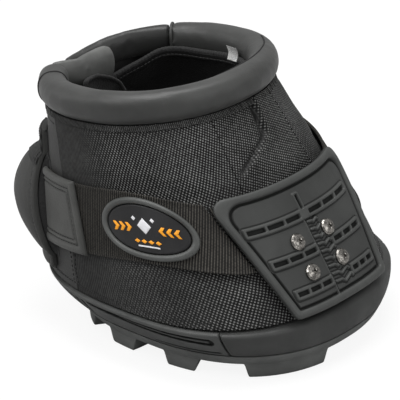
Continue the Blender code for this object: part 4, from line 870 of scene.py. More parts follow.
def lug_cover(turn, share):
    """1 on a tread block and 0 between, falling over the draft inside each block's outline."""
    degrees = np.degrees(turn)
    radius = oval_radius(turn, TREAD)
    cover = 0 * turn + 0 * share
    count, gap, low, high = INNER_LUGS
    blocks = [(-end, -start, EDGE_LUG_START, 2.0) for start, end in EDGE_LUG_ANGLES]
    blocks += [(start, end, EDGE_LUG_START, 2.0) for start, end in EDGE_LUG_ANGLES[1:]] + [FAR_TOE_LUG]
    blocks += [(360 / count * i + gap / 2, 360 / count * (i + 1) - gap / 2, low, high) for i in range(count)]
    for start, end, inner, outer in blocks:
        swing = np.abs((degrees - (start + end) / 2 + 180) % 360 - 180) - (end - start) / 2
        sideways = np.radians(swing) * radius * np.maximum(share, 0.05)
        radial = np.maximum(inner - share, share - outer) * radius
        cover = np.maximum(cover, 1 - smooth(np.maximum(sideways, radial), -LUG_DRAFT, 0.3 * MM))
    return cover


def outsole_form():
    """Tread from its middle outwards, up a squared quarter turn at the lugs, then out to the band."""
    turn = np.radians(np.arange(-180.0, 180.0, 0.5))[None, :]
    corner = 0.975
    share = np.linspace(0.02, corner, 60)[:, None]
    bend = np.radians(np.linspace(8.0, 90.0, 15))[:, None]
    share_side = corner + (1 - corner) * np.sin(bend) ** 0.4
    share_all = np.vstack([share, share_side])
    bottom = LUG_HEIGHT * (1 - lug_cover(turn, share_all))
    climb = np.vstack([0 * share, 1 - np.cos(bend) ** 0.4])
    z = bottom + (LUG_HEIGHT - bottom) * climb
    rows = [round_point(turn, oval_radius(turn, TREAD) * share_all, 0.0, z)]
    rise = np.linspace(0.1, 0.95, 8)[:, None]
    flare = oval_radius(turn, TREAD) + (oval_radius(turn, BAND) - oval_radius(turn, TREAD)) * rise ** 0.8
    rows.append(round_point(turn, flare, 0.0, LUG_HEIGHT + (BAND_TOP - LUG_HEIGHT) * rise))
    for scale, height in ((1.0, BAND_TOP - 0.15 * MM), (0.995, BAND_TOP), (0.6, BAND_TOP), (0.2, BAND_TOP)):
        rows.append(round_point(turn, oval_radius(turn, BAND) * scale, 0.0, height + 0 * turn))
    return loft(np.concatenate(rows), ends="pole")


def cup_relief(side, height):
    """Grooves of the cup's wall: a wedge round a raised bar, a thin line, and upright heel slots."""
    back = np.clip((side - WEDGE_ANGLES[0]) / (WEDGE_ANGLES[1] - WEDGE_ANGLES[0]), 0, 1)
    low, high = (7.4 + 3.8 * back) * MM, (12.0 + 0.9 * back) * MM
    end, thin_end = (np.minimum(side - angles[0], angles[1] - side) * RAND_DEGREE
                     for angles in (WEDGE_ANGLES, THIN_ANGLES))
    corner = (high - low) / 2
    past_end = np.clip(corner - end, 0, None)
    past_edge = np.clip(corner - np.minimum(height - low, high - height), 0, None)
    wedge = smooth(corner - np.hypot(past_end, past_edge), 0, 0.5 * MM)
    bar = ridge(height - (low + high) / 2 - 0.15 * MM, 0.19 * (high - low), 0.5 * MM)
    bar = bar * smooth(end, 1.6 * MM, 2.4 * MM) * (1 - smooth(back, 0.6, 0.85))
    thin = ridge(height - 2.3 * MM, 0.45 * MM, 0.4 * MM) * smooth(thin_end, 0, 1.0 * MM)
    slots = ridge(side % SLOT_PITCH - SLOT_PITCH / 2, SLOT_PITCH / 4, 0.5) * smooth(side, *SLOT_START)
    slots = slots * ridge(height - 8.6 * MM, 3.6 * MM, 0.7 * MM)
    return WEDGE_DEPTH * wedge - BAR_HEIGHT * wedge * bar + THIN_DEPTH * thin + SLOT_DEPTH * slots


def cup_form():
    """Cup from its underside's middle, out, up its grooved wall, over the rim and down inside."""
    degrees = np.arange(-180.0, 180.0, 0.3)[None, :]
    turn, side = np.radians(degrees), np.abs(degrees)
    at_toe = 1 - smooth(side, BUMPER_ANGLE, BUMPER_ANGLE + 0.35)
    heel = np.clip((side - HEEL_SEAM) / (150.0 - HEEL_SEAM), 0, 1)
    top_out = (2.5 - 1.7 * heel) * MM * (1 - at_toe) - 1.5 * MM * at_toe
    foot_out = -3.0 * MM * at_toe
    height = np.concatenate([[0.0, 0.25], np.linspace(0.8, 14.0, 54), [14.4, 14.62]])[:, None] * MM
    carved = cup_relief(side, height) * (1 - at_toe)
    out = foot_out + (top_out - foot_out) * height / CUP_HEIGHT - carved
    out = out - 0.45 * MM * (1 - smooth(height, 0, 0.8 * MM))
    out = out - 0.7 * MM * smooth(height, 13.6 * MM, CUP_HEIGHT) ** 2
    inwards = CUP_WALL * np.array([[3.0], [9.0]])
    down = np.array([[CUP_HEIGHT - 0.2 * MM], [CUP_HEIGHT / 2], [CUP_FLOOR]])
    rows = [cup_point(turn, 0.0, foot_out - inwards[::-1]), cup_point(turn, height, out),
            cup_point(turn, CUP_HEIGHT, np.minimum(top_out - 1.4 * MM, -1.6 * MM)),
            cup_point(turn, down, -CUP_WALL), cup_point(turn, CUP_FLOOR, -inwards)]
    # the carved depth goes into the cloth attribute, where the rubber finish paints shade in the grooves
    depth = np.concatenate([0 * carved[:2], -carved, np.zeros((6, carved.shape[1]))])
    return loft(np.concatenate(rows), flat_place(0.0, 0.0, depth), ends="pole")


def bumper_form():
    """Toe bumper: a section rounded at its rim, swept round the toe, its ends eased inwards."""
    limit = BUMPER_ANGLE - 0.25
    degrees = even_ends(-limit, limit, 180, 1.2)[:, None]
    turn = np.radians(degrees)
    ease = 0.7 * MM * (1 - smooth(limit - np.abs(degrees), 0, 0.9)) ** 2
    crest, lean = 1.8 * MM, 2.8 * MM
    rise = np.linspace(0, 1, 22)
    bend = np.radians(np.linspace(8, 90, 10))
    height_up = rise * (CUP_HEIGHT - crest)
    out_up = lean * rise ** 0.8 - 0.5 * MM * (1 - smooth(height_up, 0, 0.7 * MM))
    height = np.concatenate([height_up, CUP_HEIGHT - crest + crest * np.sin(bend)])[None]
    out = np.concatenate([out_up, lean - crest * (1 - np.cos(bend))])[None]
    inner = cup_point(turn, height, -2.7 * MM + 1.5 * MM * height / CUP_HEIGHT)
    return shell(cup_point(turn, height, out - ease), inner)


def insole_form():
    """Foam pad: the cup's inner outline shrunk to its middle, with a shallow ring of channels."""
    turn = np.radians(np.arange(-180.0, 180.0, 1.0))[None, :]
    edge = cup_point(turn, CUP_FLOOR + GAP, -CUP_WALL - 1.5 * GAP)[0]
    middle = edge.mean(axis=0)
    rows = [middle + (edge - middle) * s for s in (0.1, 0.6, 0.985)] + [edge + (0, 0, 0.8 * MM)]
    for s in np.linspace(1.0, 0.1, 40):
        drop = 0.8 * MM * smooth(s, 0.985, 1.0) + 0.9 * MM * ridge((s * 10) % 1 - 0.5, 0.12, 0.15)
        inset = s - 0.01 * smooth(s, 0.97, 1.0)
        rows.append(middle + (edge - middle) * inset + (0, 0, INSOLE_THICK - drop))
    return loft(np.stack(rows), ends="pole")


# Upper pieces

def lowest_share(turn):
    """Share at which a panel's lower edge clears the cup's rim."""
    rise = wall_base(turn, 1 + 0 * turn)[..., 2] - UPPER_BASE
    return (GAP + np.maximum(wall_normal(turn, 0 * turn)[..., 2] * CLOTH_THICK, 0)) / rise


def fold_relief(turn, share):
    """The front fold: a dent along a slanting line and fullness before it that fades forwards."""
    ahead = crease_ahead(turn, share)
    full = 2.2 * MM * smooth(ahead, -0.5 * MM, 2.5 * MM) * np.exp(-np.clip(ahead, 0, None) / (16 * MM))
    dent = 2.0 * MM * bell(ahead + FOLD_SHIFT, 1.8 * MM) * (0.7 + 0.3 * np.sin(share * 60))
    return (full - dent) * smooth(share, *FOLD_SPAN)


def cloth_waves(turn, share):
    """Soft hollows and swellings: sines of angle and share that cross at a slant."""
    t, s = np.degrees(turn), share
    wave = 0.35 * np.sin(0.11 * t + 5.0 * s) * np.sin(9.0 * s + 0.05 * t) + 0.2 * np.sin(0.23 * t - 11.0 * s)
    return wave * MM


def panel_out(turn, share):
    """Height of a panel's outer face: waves and puffs beside the strap, nothing under it."""
    away = np.abs(share - strap_level(turn)) * wall_length(turn) - STRAP_WIDTH / 2
    free = smooth(away, 1.5 * MM, 9.0 * MM)
    seat = smooth(share, 0.0, 0.06) * (1 - smooth(share, 0.93, 0.99))
    return (cloth_waves(turn, share) + 0.7 * MM * bell(away - 11 * MM, 7 * MM)) * free * seat


def sheet_form(start, end, low, high, relief, lean=0.0, thick=CLOTH_THICK, step=0.6, rows=90, lift=0.0):
    """A layer of the wall between two angles and two shares, its outer edges rounded over."""
    degrees = even_ends(start, end, int(abs(end - start) / step), 0.8)[:, None]
    turn = np.radians(degrees)
    level = even_ends(0.0, 1.0, rows, 0.012)[None, :]
    bottom, top = low(turn), high(turn)
    share = bottom + (top - bottom) * level
    reach = np.hypot(*(wall_base(turn, share)[..., :2] - (UPPER_X, 0)).transpose(2, 0, 1)) * math.radians(1)
    sideways = np.minimum(degrees - start, end - degrees) * reach
    upward = np.minimum(level, 1 - level) * (top - bottom) * wall_length(turn)
    outer = wall_point(turn, share, lift + relief(turn, share) - rounded(sideways, upward, CLOTH_EDGE))
    return shell(outer, wall_point(turn, share, lift - thick), cloth_place(turn, share, lean))


def build_panels(sizes):
    """Woven side panels and gusset, smooth heel panels, and the rows of stitches along them."""
    crown = lambda turn: 1.0 + 0 * turn
    tucked = lambda turn: FLAP_SHARE - GAP / wall_length(turn)
    relief = lambda turn, share: panel_out(turn, share) + fold_relief(turn, share)
    heel = lambda turn, share: 0.5 * cloth_waves(turn, share) * smooth(share, 0.62, 0.75)
    half, side, front = 0.25, sizes.side_lean, sizes.front_lean
    for name, start, end, top, bulge, lean, kind in (
            ("near_side_panel", half - HEEL_SEAM, -GUSSET_ANGLE, crown, relief, side, "woven"),
            ("front_gusset", half - GUSSET_ANGLE, GUSSET_ANGLE - half, crown, relief, front, "woven"),
            ("far_side_panel", GUSSET_ANGLE, FLAP_SEAM - half, crown, relief, -side, "woven"),
            ("near_heel_panel", REAR_JOIN + half - 360, -HEEL_SEAM, crown, heel, 0.0, "heel_cloth"),
            ("far_heel_panel", FLAP_SEAM, REAR_JOIN, tucked, heel, 0.0, "heel_cloth")):
        form = sheet_form(start, end, lowest_share, top, bulge, lean)
        new_piece(f"{name}_cloth", form, FINISHES[kind], "boot", [name])
    low, high = 0.045, 0.925
    rows = []
    for start, end, level in ((-112.0, -53.0, low), (-157.0, -114.0, low), (26.0, 122.0, low),
                              (126.0, 200.0, low), (-157.0, -114.0, high)):
        turn = np.radians(np.linspace(start, end, 160))
        share = level + 0 * turn
        rows.append(wall_stitches(turn, share, panel_out(turn, share) + 0.05 * MM, sizes))
    for angle, top in ((-111.6, 0.3), (-114.4, 0.3), (122.6, 0.93)):
        share = np.linspace(0.05, top, 120)
        turn = 0 * share + math.radians(angle)
        out = panel_out(turn, share) * (abs(angle) < HEEL_SEAM) + 0.02 * MM
        rows.append(wall_stitches(turn, share, out, sizes))
    new_piece("panel_stitches", merge(rows), FINISHES["thread"], "boot")
    gathers = lambda turn, share: 0.35 * MM * np.sin(np.degrees(turn) * 2.6) ** 2 + 0 * share
    foot = lambda turn: 1.0 - 3.4 * MM / wall_length(turn)
    form = sheet_form(-ROLL_REAR, FLAP_SEAM - 0.6, foot, crown, gathers, thick=0.5 * MM, step=0.7, rows=10,
                      lift=0.75 * MM)
    new_piece("collar_seam_band", form, FINISHES["band"], "boot")


EDGE_ANGLES = (0.0, 75.0, 92.0, 102.0, 111.0, 118.0, 126.0, 132.0, 137.0, 141.5, 150.0, 166.0, 180.0)
EDGE_RISES = (-5.5, -4.7, -5.2, -5.2, -4.3, -3.5, -3.3, -4.2, -6.1, -8.2, -10.4, -13.6, -15.0)
EDGE_OUTS = (-8.9, -9.0, -9.0, -9.1, -9.2, -9.2, -9.2, -9.0, -8.5, -7.8, -7.2, -7.0, -7.0)
LAPPED_EDGE = ((-150.0, 1.00), (-150.0, 1.05), (-168.0, 1.03), (-183.0, 0.97), (-190.0, 0.92), (-193.0, 0.85))


def edge_centre(turn):
    """Centre of the lining's bound edge: against the roll's foot in front, lower round the heel."""
    side = np.degrees(np.arccos(np.cos(turn)))
    fine = np.arange(0.0, 181.0)
    rise, out = (np.interp(side, fine, softened(np.interp(fine, EDGE_ANGLES, values), 7, "reflect")) * MM
                 for values in (EDGE_RISES, EDGE_OUTS))
    return collar_point(turn, out, rise)


def lapped_edge():
    """Turns and shares of the lapped end's rounded edge: straight between its corners, then softened."""
    at, knots = np.linspace(0, 1, 90), np.linspace(0, 1, len(LAPPED_EDGE))
    turn, share = (softened(np.interp(at, knots, values), 8, "edge") for values in np.array(LAPPED_EDGE).T)
    return np.radians(turn), share


def lining_rows(turn, low, depth):
    """Up the wall to three quarters, then a curve of the second degree that leans in to the bound edge."""
    share = low + (0.74 - low) * np.linspace(0, 1, 26)[None, :]
    straight = wall_point(turn, share, depth)
    t = np.linspace(0, 1, 22)[None, 1:, None]
    start, bend = wall_point(turn, 0.74 + 0 * turn, depth), wall_point(turn, 0.9 + 0 * turn, depth - 1.0 * MM)
    end = edge_centre(turn) + (depth - LINER_OUT) * wall_normal(turn, 0.9 + 0 * turn)
    return np.concatenate([straight, (1 - t) ** 2 * start + 2 * t * (1 - t) * bend + t * t * end], 1)


def build_liner(sizes):
    """Lining: a closed cuff, a corded bound edge with a row of stitches, and its rounded lapped end."""
    turn = np.radians(np.arange(-180.0, 180.0, 0.75))[:, None]
    clear = GAP + np.maximum(wall_normal(turn, 0 * turn)[..., 2] * -LINER_IN, 0)
    low = clear / (wall_base(turn, 1 + 0 * turn)[..., 2] - UPPER_BASE)
    form = shell(lining_rows(turn, low, LINER_OUT), lining_rows(turn, low, LINER_IN), loop=True)
    new_piece("liner_cuff", form, FINISHES["liner"], "boot", ["liner"])
    turn = np.radians(np.arange(-180.0, 180.0, 0.4))
    path, normal = edge_centre(turn), wall_normal(turn, 0.9 + 0 * turn)
    beads = [tube(path, normal, BINDING_RADIUS * (1 + 0.05 * np.sin(turn * 160)), 14, loop=True)]
    beads.append(tube(path - (0, 0, 3.4 * MM) - 0.4 * MM * normal, normal, 0.55 * MM, 8, loop=True))
    turn, top = lapped_edge()
    beads.append(tube(wall_point(turn, top, -18.5 * MM), wall_normal(turn, 0.9 + 0 * turn), 1.3 * MM))
    new_piece("liner_edge_bead", merge(beads), FINISHES["binding"], "boot", ["liner_binding"])
    share = 0.72 + (top[:, None] - 0.72) * np.linspace(0, 1, 14)[None, :]
    sheet = [wall_point(turn[:, None], share, out * MM - 8.0 * MM * smooth(share, 0.7, 0.9))
             for out in (-10.2, -10.9)]
    new_piece("liner_lapped_end", shell(*sheet), FINISHES["liner"], "boot")
    turn = np.radians(np.arange(-180.0, 180.0, 0.5))
    normal = wall_normal(turn, 0.9 + 0 * turn)
    rows = stitches(edge_centre(turn) - (0, 0, 2.2 * MM) - 1.9 * MM * normal, -normal, sizes)
    new_piece("liner_stitches", rows, FINISHES["pale_thread"], "boot")


# Collar

def padded_form(start, end, shape, end_length, scale):
    """A stuffed tube along the collar: superellipse rings that close in a dome at the far end."""
    reach = abs(math.radians(end - start)) * (COLLAR[0] + COLLAR[2]) / 2
    dome = min(end_length / reach, 0.45)
    body = np.linspace(0.004, 1 - dome, int(abs(end - start) / 1.2))
    station = np.concatenate([[0.0], body, 1 - dome * (1 - np.sin(np.radians(np.linspace(8, 84, 9))))])
    angle = start + (end - start) * station
    out, rise, half_thick, half_tall = (np.broadcast_to(v, angle.shape)[:, None] for v in shape(angle))
    inward = np.clip(1 - (1 - station) / dome, 0, 1)
    close = np.sqrt(np.clip(1 - inward ** 2, 0, None))[:, None] * scale
    close = close * (1 - 0.12 * (station < 0.003))[:, None]
    turn = np.linspace(0, 2 * math.pi, 40, endpoint=False)[None, :]
    dx, dz = squared_ring(turn, half_thick, half_tall)
    return loft(collar_point(np.radians(angle)[:, None], out + dx * close, rise + dz * close), ends="pole")


def inflate(obj, voxel, pressure, cap):
    """Cloth simulation of a stuffed piece: remeshed, swollen by pressure, its moves capped, then frozen."""
    scene = bpy.context.scene
    bpy.ops.object.select_all(action="DESELECT")
    obj.select_set(True)
    bpy.context.view_layer.objects.active = obj
    remesh = obj.modifiers.new("remesh", "REMESH")
    remesh.mode = "VOXEL"
    remesh.voxel_size = voxel
    bpy.ops.object.modifier_apply(modifier=remesh.name)
    rest = np.zeros(len(obj.data.vertices) * 3)
    obj.data.vertices.foreach_get("co", rest)
    rest = rest.reshape(-1, 3)
    cloth = obj.modifiers.new("swell", "CLOTH")
    cloth.settings.use_pressure = True
    cloth.settings.uniform_pressure_force = pressure
    cloth.settings.tension_stiffness = 20.0
    cloth.settings.compression_stiffness = 20.0
    cloth.settings.bending_stiffness = 0.8
    cloth.settings.effector_weights.gravity = 0.0
    for number in range(1, 21):
        scene.frame_set(number)
    held = obj.evaluated_get(bpy.context.evaluated_depsgraph_get())
    moved = np.zeros(len(held.data.vertices) * 3)
    held.data.vertices.foreach_get("co", moved)
    move = moved.reshape(-1, 3) - rest
    length = np.linalg.norm(move, axis=1, keepdims=True)
    move *= np.minimum(1.0, cap / np.maximum(length, 1e-9))
    obj.modifiers.remove(cloth)
    scene.frame_set(1)
    obj.data.vertices.foreach_set("co", (rest + move).ravel())
    soften = obj.modifiers.new("soften", "SMOOTH")
    soften.iterations = 4
    bpy.ops.object.modifier_apply(modifier=soften.name)
    finer = obj.modifiers.new("finer", "SUBSURF")
    finer.levels = finer.render_levels = 1
    bpy.ops.object.modifier_apply(modifier=finer.name)
    obj.data.shade_smooth()


def flap_drop(angle):
    return 3.5 * MM * smooth(angle, 150.0, FLAP_END)


def tongue_shape(angle):
    inward = smooth(-angle, ROLL_REAR + 0.25, 160.0)
    return -9.0 * MM * inward, -3.0 * MM * inward, 4.3 * MM, (7.6 + 2.0 * inward) * MM


def flap_shape(angle):
    swell = 2.0 * MM * (1 - smooth(angle, FLAP_SEAM, 154.0))
    return 0.0, -flap_drop(angle), 3.4 * MM + swell, 8.3 * MM


def roll_line(degrees, ring, scale):
    """A line along the collar roll at given ring angles, with its outward normals."""
    at = lambda grow: collar_point(np.radians(degrees), *(
        grow * reach for reach in squared_ring(np.radians(ring), *ROLL_HALVES)))
    path = at(scale)
    return path, unit(at(scale + 0.2) - path)


def build_collar(sizes):
    """Padded collar: front and near roll, inner tongue, flap roll, their seams and the flap's cloth."""
    whole = lambda angle: (0.0, 0.0, *ROLL_HALVES)
    lap = -ROLL_REAR - 0.25
    for kind, finish, start, end, shape, dome, voxel, cap, share, body in (
            ("collar_roll", "collar", FLAP_SEAM - 0.25, -ROLL_REAR, whole, 5.0, 2.6, 1.2, 0.99, "boot"),
            ("collar_tongue", "tongue", lap, -TONGUE_END, tongue_shape, 7.0, 1.8, 0.8, 0.97, "boot"),
            ("flap_roll", "flap", FLAP_SEAM + 0.25, FLAP_END, flap_shape, 4.0, 1.5, 0.7, 0.945, "flap")):
        scale = sizes.pad_start * share
        form = padded_form(start, end, shape, dome * MM, scale)[:3] + (None,)
        pad = new_piece(f"{kind}_pad", form, FINISHES[finish], body, [kind])
        inflate(pad, voxel * MM, sizes.pad_pressure, cap * MM)
    ring = np.linspace(0, 360, 72, endpoint=False)
    seams = [tube(*roll_line(-127.0 + 0 * ring, ring, 1.0), 0.55 * MM, 10, loop=True)]
    degrees = np.linspace(-75, 62, 160)
    rings = np.interp(degrees, (-75, -20, 10, 35, 62), (158, 138, 116, 96, 76))
    seams.append(tube(*roll_line(degrees, rings, 1.0), 0.45 * MM, 8))
    new_piece("collar_piping", merge(seams), FINISHES["thread"], "boot")
    form = tube(*roll_line(FLAP_SEAM - 1.1 + 0 * ring, ring, 0.96), 0.8 * MM, 10, loop=True)
    new_piece("collar_seam_ridge", form, FINISHES["collar"], "boot")
    turn = np.radians(even_ends(FLAP_SEAM - 2.5, FLAP_SEAM + 3.0, 40, 0.4))[:, None]
    share = np.linspace(0.88, 1.02, 24)[None, :]
    form = shell(*(wall_point(turn, share, out) for out in (0.55 * MM, 0.08 * MM)))
    hinge = new_piece("flap_hinge_tape", form, FINISHES["binding"], None)
    start, end = bend_ends((FLAP_SEAM - 1.0, 0.95, 0.0), (FLAP_SEAM + 1.8, 0.95, 0.0))
    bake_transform(hinge)
    degrees = np.linspace(-ROLL_REAR + 1, FLAP_SEAM - 1, 300)
    form = tube(*roll_line(degrees, 286 + 0 * degrees, 0.99), 0.9 * MM, 10)
    new_piece("collar_foot_piping", form, FINISHES["thread"], "boot")
    tuck = lambda angle: 2.6 * MM * smooth(angle, FLAP_SEAM + 3.0, FLAP_SEAM + 10.0)
    crown = lambda turn: 1.0 + (tuck(np.degrees(turn)) - flap_drop(np.degrees(turn))) / wall_length(turn)
    low = lambda turn: FLAP_SHARE + FLAP_CLEARANCE / wall_length(turn)
    form = sheet_form(FLAP_SEAM + 0.25, FLAP_END, low, crown, lambda turn, share: 0 * share, rows=30)
    new_piece("closure_flap_cloth", form, FINISHES["heel_cloth"], "flap", ["closure_flap"])
    turn = np.radians(np.linspace(FLAP_SEAM + 2, FLAP_END - 2, 120))
    rows = wall_stitches(turn, FLAP_SHARE + 3.2 * MM / wall_length(turn), 0.02 * MM, sizes)
    new_piece("closure_flap_stitches", rows, FINISHES["thread"], "flap")


def build_tags():
    """Blank white tags: each a tape folded on itself, standing up inside the collar."""
    for number, angle, half, foot, head, out in ((1, 73.0, 4.8, -5.5, 2.5, -11.0),
                                                 (2, -166.0, 1.7, -15.5, -9.5, -14.5)):
        radius = float(oval_radius(math.radians(angle), COLLAR))
        turn = math.radians(angle) + np.linspace(-half, half, 18)[:, None] * MM / radius
        level = np.linspace(0, 1, 30)[None, :]
        rise = (foot + (head - foot) * level) * MM
        away = out * MM + 1.2 * MM * np.sin(level * math.pi) + 0.8 * MM * np.sin(8 * turn)
        form = shell(collar_point(turn, away + 0.25 * MM, rise - 0.2 * MM),
                     collar_point(turn, away - 0.35 * MM, rise + 0.1 * MM))
        new_piece(f"folded_tag_{number}", form, FINISHES["tag"], "boot", [f"collar_tag_{number}"])


# Straps, sling and loops

def rib_place(x, y):
    """Distance along the webbing counted from rib to rib, which lean by a constant share of y."""
    return x + RIB_LEAN * np.sign(x) * y


def rib_relief(x, y):
    """Ribs of the webbing: a cosine of the distance along it, dying out at the woven edges."""
    pitch = bpy.context.scene.boot_sizes.rib_pitch
    edge = smooth(STRAP_WIDTH / 2 - np.abs(y), 0.6 * MM, 1.6 * MM)
    return 0.15 * MM * (np.cos(2 * math.pi * rib_place(x, y) / pitch) - 1) * edge + 0.12 * MM * (1 - edge)


def strap_form(start, end):
    """A run of webbing with rounded edges between two arc lengths."""
    x = even_ends(min(start, end), max(start, end), int(abs(end - start) / (0.2 * MM)), 0.4 * MM)
    y = even_ends(-STRAP_WIDTH / 2, STRAP_WIDTH / 2, 40, 0.8 * MM)
    return slab(strap_place, x, y, STRAP_THICK, 0.6 * MM, rib_relief)


def shield_half(level):
    """Half width of the shield, growing evenly upwards."""
    return SHIELD_HALVES[0] + SHIELD_SLOPE * (level - SHIELD_LOW)


def shield_edge(level):
    """Distance of the shield's near edge from the toe line at a level."""
    return shield_half(level) - SHIELD_CENTRE


def slanted_strap_form():
    """The near strap: a grid whose forward end slants along the shield's near edge."""
    levels = np.linspace(SHIELD_LOW, SHIELD_LOW + SHIELD_HEIGHT, 40)
    turns = turn_at(-shield_edge(levels), levels / TOE_LENGTH)
    across = (levels / TOE_LENGTH - strap_level(turns)) * wall_length(turns)
    arcs = -np.interp(np.abs(turns), TABLE_TURNS, ARCS[STRAP_ROW])
    y = even_ends(-STRAP_WIDTH / 2, STRAP_WIDTH / 2, 40, 0.8 * MM)
    front = np.interp(y, across, arcs) - 1.5 * GAP
    rear = arc_to(-STRAP_ROOT, STRAP_SHARE)
    x = rear + (front[None, :] - rear) * even_ends(0.0, 1.0, 520, 0.004)[:, None]
    gy = y[None, :] + 0 * x
    drop = rounded(np.minimum(x - rear, front[None, :] - x), STRAP_WIDTH / 2 - np.abs(gy), 0.6 * MM)
    outer = strap_place(x, gy, STRAP_THICK - drop + rib_relief(x, gy))
    return shell(outer, strap_place(x, gy, drop), flat_place(rib_place(x, gy), gy))


def build_straps():
    """Webbing straps: the near one runs from its root to the shield's near edge, the far one lies along the
    boot.
    """
    webbing = FINISHES["webbing"]
    strap = new_piece("near_strap_webbing", slanted_strap_form(), webbing, None,
                      ["near_strap", "near_strap_root"])
    start, end = bend_ends((-HINGE_ANGLE - 0.2, STRAP_SHARE, 1.0 * MM), (-97.5, STRAP_SHARE, 1.0 * MM))
    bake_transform(strap)
    form = strap_form(arc_to(STRAP_ROOT, STRAP_SHARE), arc_to(FAR_STRAP_END, STRAP_SHARE))
    new_piece("far_strap_webbing", form, webbing, "boot", ["far_strap"])
    level = STRAP_LEVELS[0][1] * TOE_LENGTH
    y = even_ends(level - STRAP_WIDTH / 2, level + STRAP_WIDTH / 2, 14, 0.6 * MM)
    start = -shield_edge(y) + 0.6 * MM
    end = np.interp(y, (43.5 * MM, y[-1]), (12.0 * MM, start[-1] + 2 * MM))
    x = start + (end - start) * np.linspace(0, 1, 160)[:, None]
    gy = y[None, :] + 0 * x
    form = shell(front_place(x, gy, 3.5 * MM), front_place(x, gy, 2.0 * MM), flat_place(x, gy))
    new_piece("strap_end_webbing", form, webbing, "shield", ["near_strap_end"])


def sling_shape(turn):
    """Lift and half width of the sling: proud and wide at its tabs, low and narrow at the heel."""
    side = np.degrees(np.arccos(np.cos(turn)))
    ramp = np.clip((side - SLING_RAMP[0]) / (SLING_RAMP[1] - SLING_RAMP[0]), 0, 1)
    tab = 2 * GAP + STRAP_THICK
    return tab + (GAP - tab) * ramp, (39.0 - 5.0 * ramp) / 2 * MM


def sling_point(degrees, y, out):
    """On the sling: an angle, a signed distance across it and a height off its inner face."""
    turn = np.radians(degrees)
    lift, _ = sling_shape(turn)
    share = strap_level(np.arccos(np.cos(turn))) + y / wall_length(turn)
    return wall_point(turn, share, lift + out)


def build_sling(sizes):
    """Heel sling: a puffed border outside two sewn lines, a flatter middle, and thick turned edges."""
    tab, reach, wide = HINGE_ANGLE + 0.25, 1.42 * MM, 19.5 * MM
    degrees = even_ends(tab, 360.0 - tab, 300, 1.4)[:, None]
    _, half = sling_shape(np.radians(degrees))
    y = even_ends(-1.0, 1.0, 70, 0.06)[None, :] * half
    end, side = np.minimum(degrees - tab, 360.0 - tab - degrees) * reach, half - np.abs(y)
    inside, drop = np.minimum(end, side), rounded(end, side, 1.1 * MM)
    rows = (4.6 * MM, 6.9 * MM)
    puff = 0.75 * MM * np.sin(np.pi * np.clip(inside / rows[0], 0, 1)) ** 0.7
    between = 0.3 * MM * np.sin(np.pi * np.clip((inside - rows[0]) / (rows[1] - rows[0]), 0, 1))
    groove = sum(0.8 * MM * bell(inside - row, 0.5 * MM) for row in rows)
    creases = 0.18 * MM * np.sin(degrees * 0.9 + y * 900) * smooth(degrees, 140, 150)
    creases = creases * (1 - smooth(degrees, 210, 220))
    top = SLING_THICK - drop + puff + between - groove + creases
    form = shell(sling_point(degrees, y, top), sling_point(degrees, y, 0.25 * drop))
    new_piece("heel_sling_hide", form, FINISHES["sling"], "boot", ["heel_sling"])
    forms, sewn = [], SLING_THICK - 0.55 * MM
    for inset in rows:
        start = tab + inset / reach
        run = np.linspace(start, 360 - start, 500)
        across = np.linspace(inset - wide, wide - inset, 60)
        _, run_half = sling_shape(np.radians(run))
        lines = [(run, sign * (run_half - inset)) for sign in (-1, 1)]
        lines += [(angle + 0 * across, across) for angle in (start, 360 - start)]
        for angles, places in lines:
            forms.append(stitch_row(lambda out: sling_point(angles, places, out), sewn, sizes))
    new_piece("heel_sling_stitches", merge(forms), FINISHES["thread"], "boot")


def loop_arch(station, across):
    """Height of a keeper loop's arch: a sine to a power below 1, higher towards one edge."""
    inside = np.clip((station - LOOP_SPAN[0]) / (LOOP_SPAN[1] - LOOP_SPAN[0]), 0, 1)
    return (12.0 * MM + 5.0 * MM * across) * np.sin(np.pi * inside) ** 0.6


def loop_point(side, station, across, out):
    """On a keeper loop: its station along, place across from -1 to 1, and height off its inner face."""
    station, across, out = np.broadcast_arrays(station, across, out)
    share = LOOP_SHARES[0] + (LOOP_SHARES[1] - LOOP_SHARES[0]) * station
    middle = np.radians(LOOP_ANGLES[0] + (LOOP_ANGLES[1] - LOOP_ANGLES[0]) * station)
    base = wall_base(middle, share)
    turn = side * (middle + across * LOOP_WIDTH / 2 / np.hypot(base[..., 0] - UPPER_X, base[..., 1]))
    return wall_point(turn, share, GAP + loop_arch(station, across) + out)


def loop_form(side, stations, thick, base_out, puff, widen=1.0, lean=0.0):
    """A run of a keeper loop: a pillowed face between two lower sewn edges."""
    s = even_ends(stations[0], stations[1], 130, 0.012)[:, None]
    a = even_ends(-1.0, 1.0, 34, 0.07)[None, :]
    half, length = LOOP_WIDTH / 2, LOOP_LENGTH
    ends = (stations[0] * length, stations[1] * length), (-half, half)
    drop = edge_drop(s * length, a * half, *ends, min(1.2 * MM, thick / 2))
    from_edge = (1 - np.abs(a)) * half
    pillow = puff * smooth(from_edge, 2.2 * MM, 8.0 * MM) - 0.4 * MM * bell(from_edge - 2.6 * MM, 0.5 * MM)
    outer = loop_point(side, s, a * widen, base_out + thick - drop + pillow)
    inner = loop_point(side, s, a * widen, base_out + 0.5 * drop)
    return shell(outer, inner, flat_place(*leaning(a * half, s * length, lean)))


def shade_sheet_form(side):
    """A keeper loop's painted shade: a thin dark sheet that turns in from its front edge towards the boot."""
    s = even_ends(0.1, 0.99, 120, 0.012)[:, None]
    sewn = smooth(s, 0.79, 0.84)
    depth = (0.8 + 0.2 * smooth(s, 0.45, 0.75)) * (1 - sewn) + 0.55 * sewn
    a = -0.5 - depth * np.linspace(1, 0, 24)[None, :]
    sink = (sewn - 0.5) * MM - np.clip(loop_arch(s, a) - 0.5 * MM, 0, None) * smooth(-a, 0.92, 1.25)
    return shell(loop_point(side, s, a, sink), loop_point(side, s, a, sink - (0.8 + 0.4 * sewn) * MM))


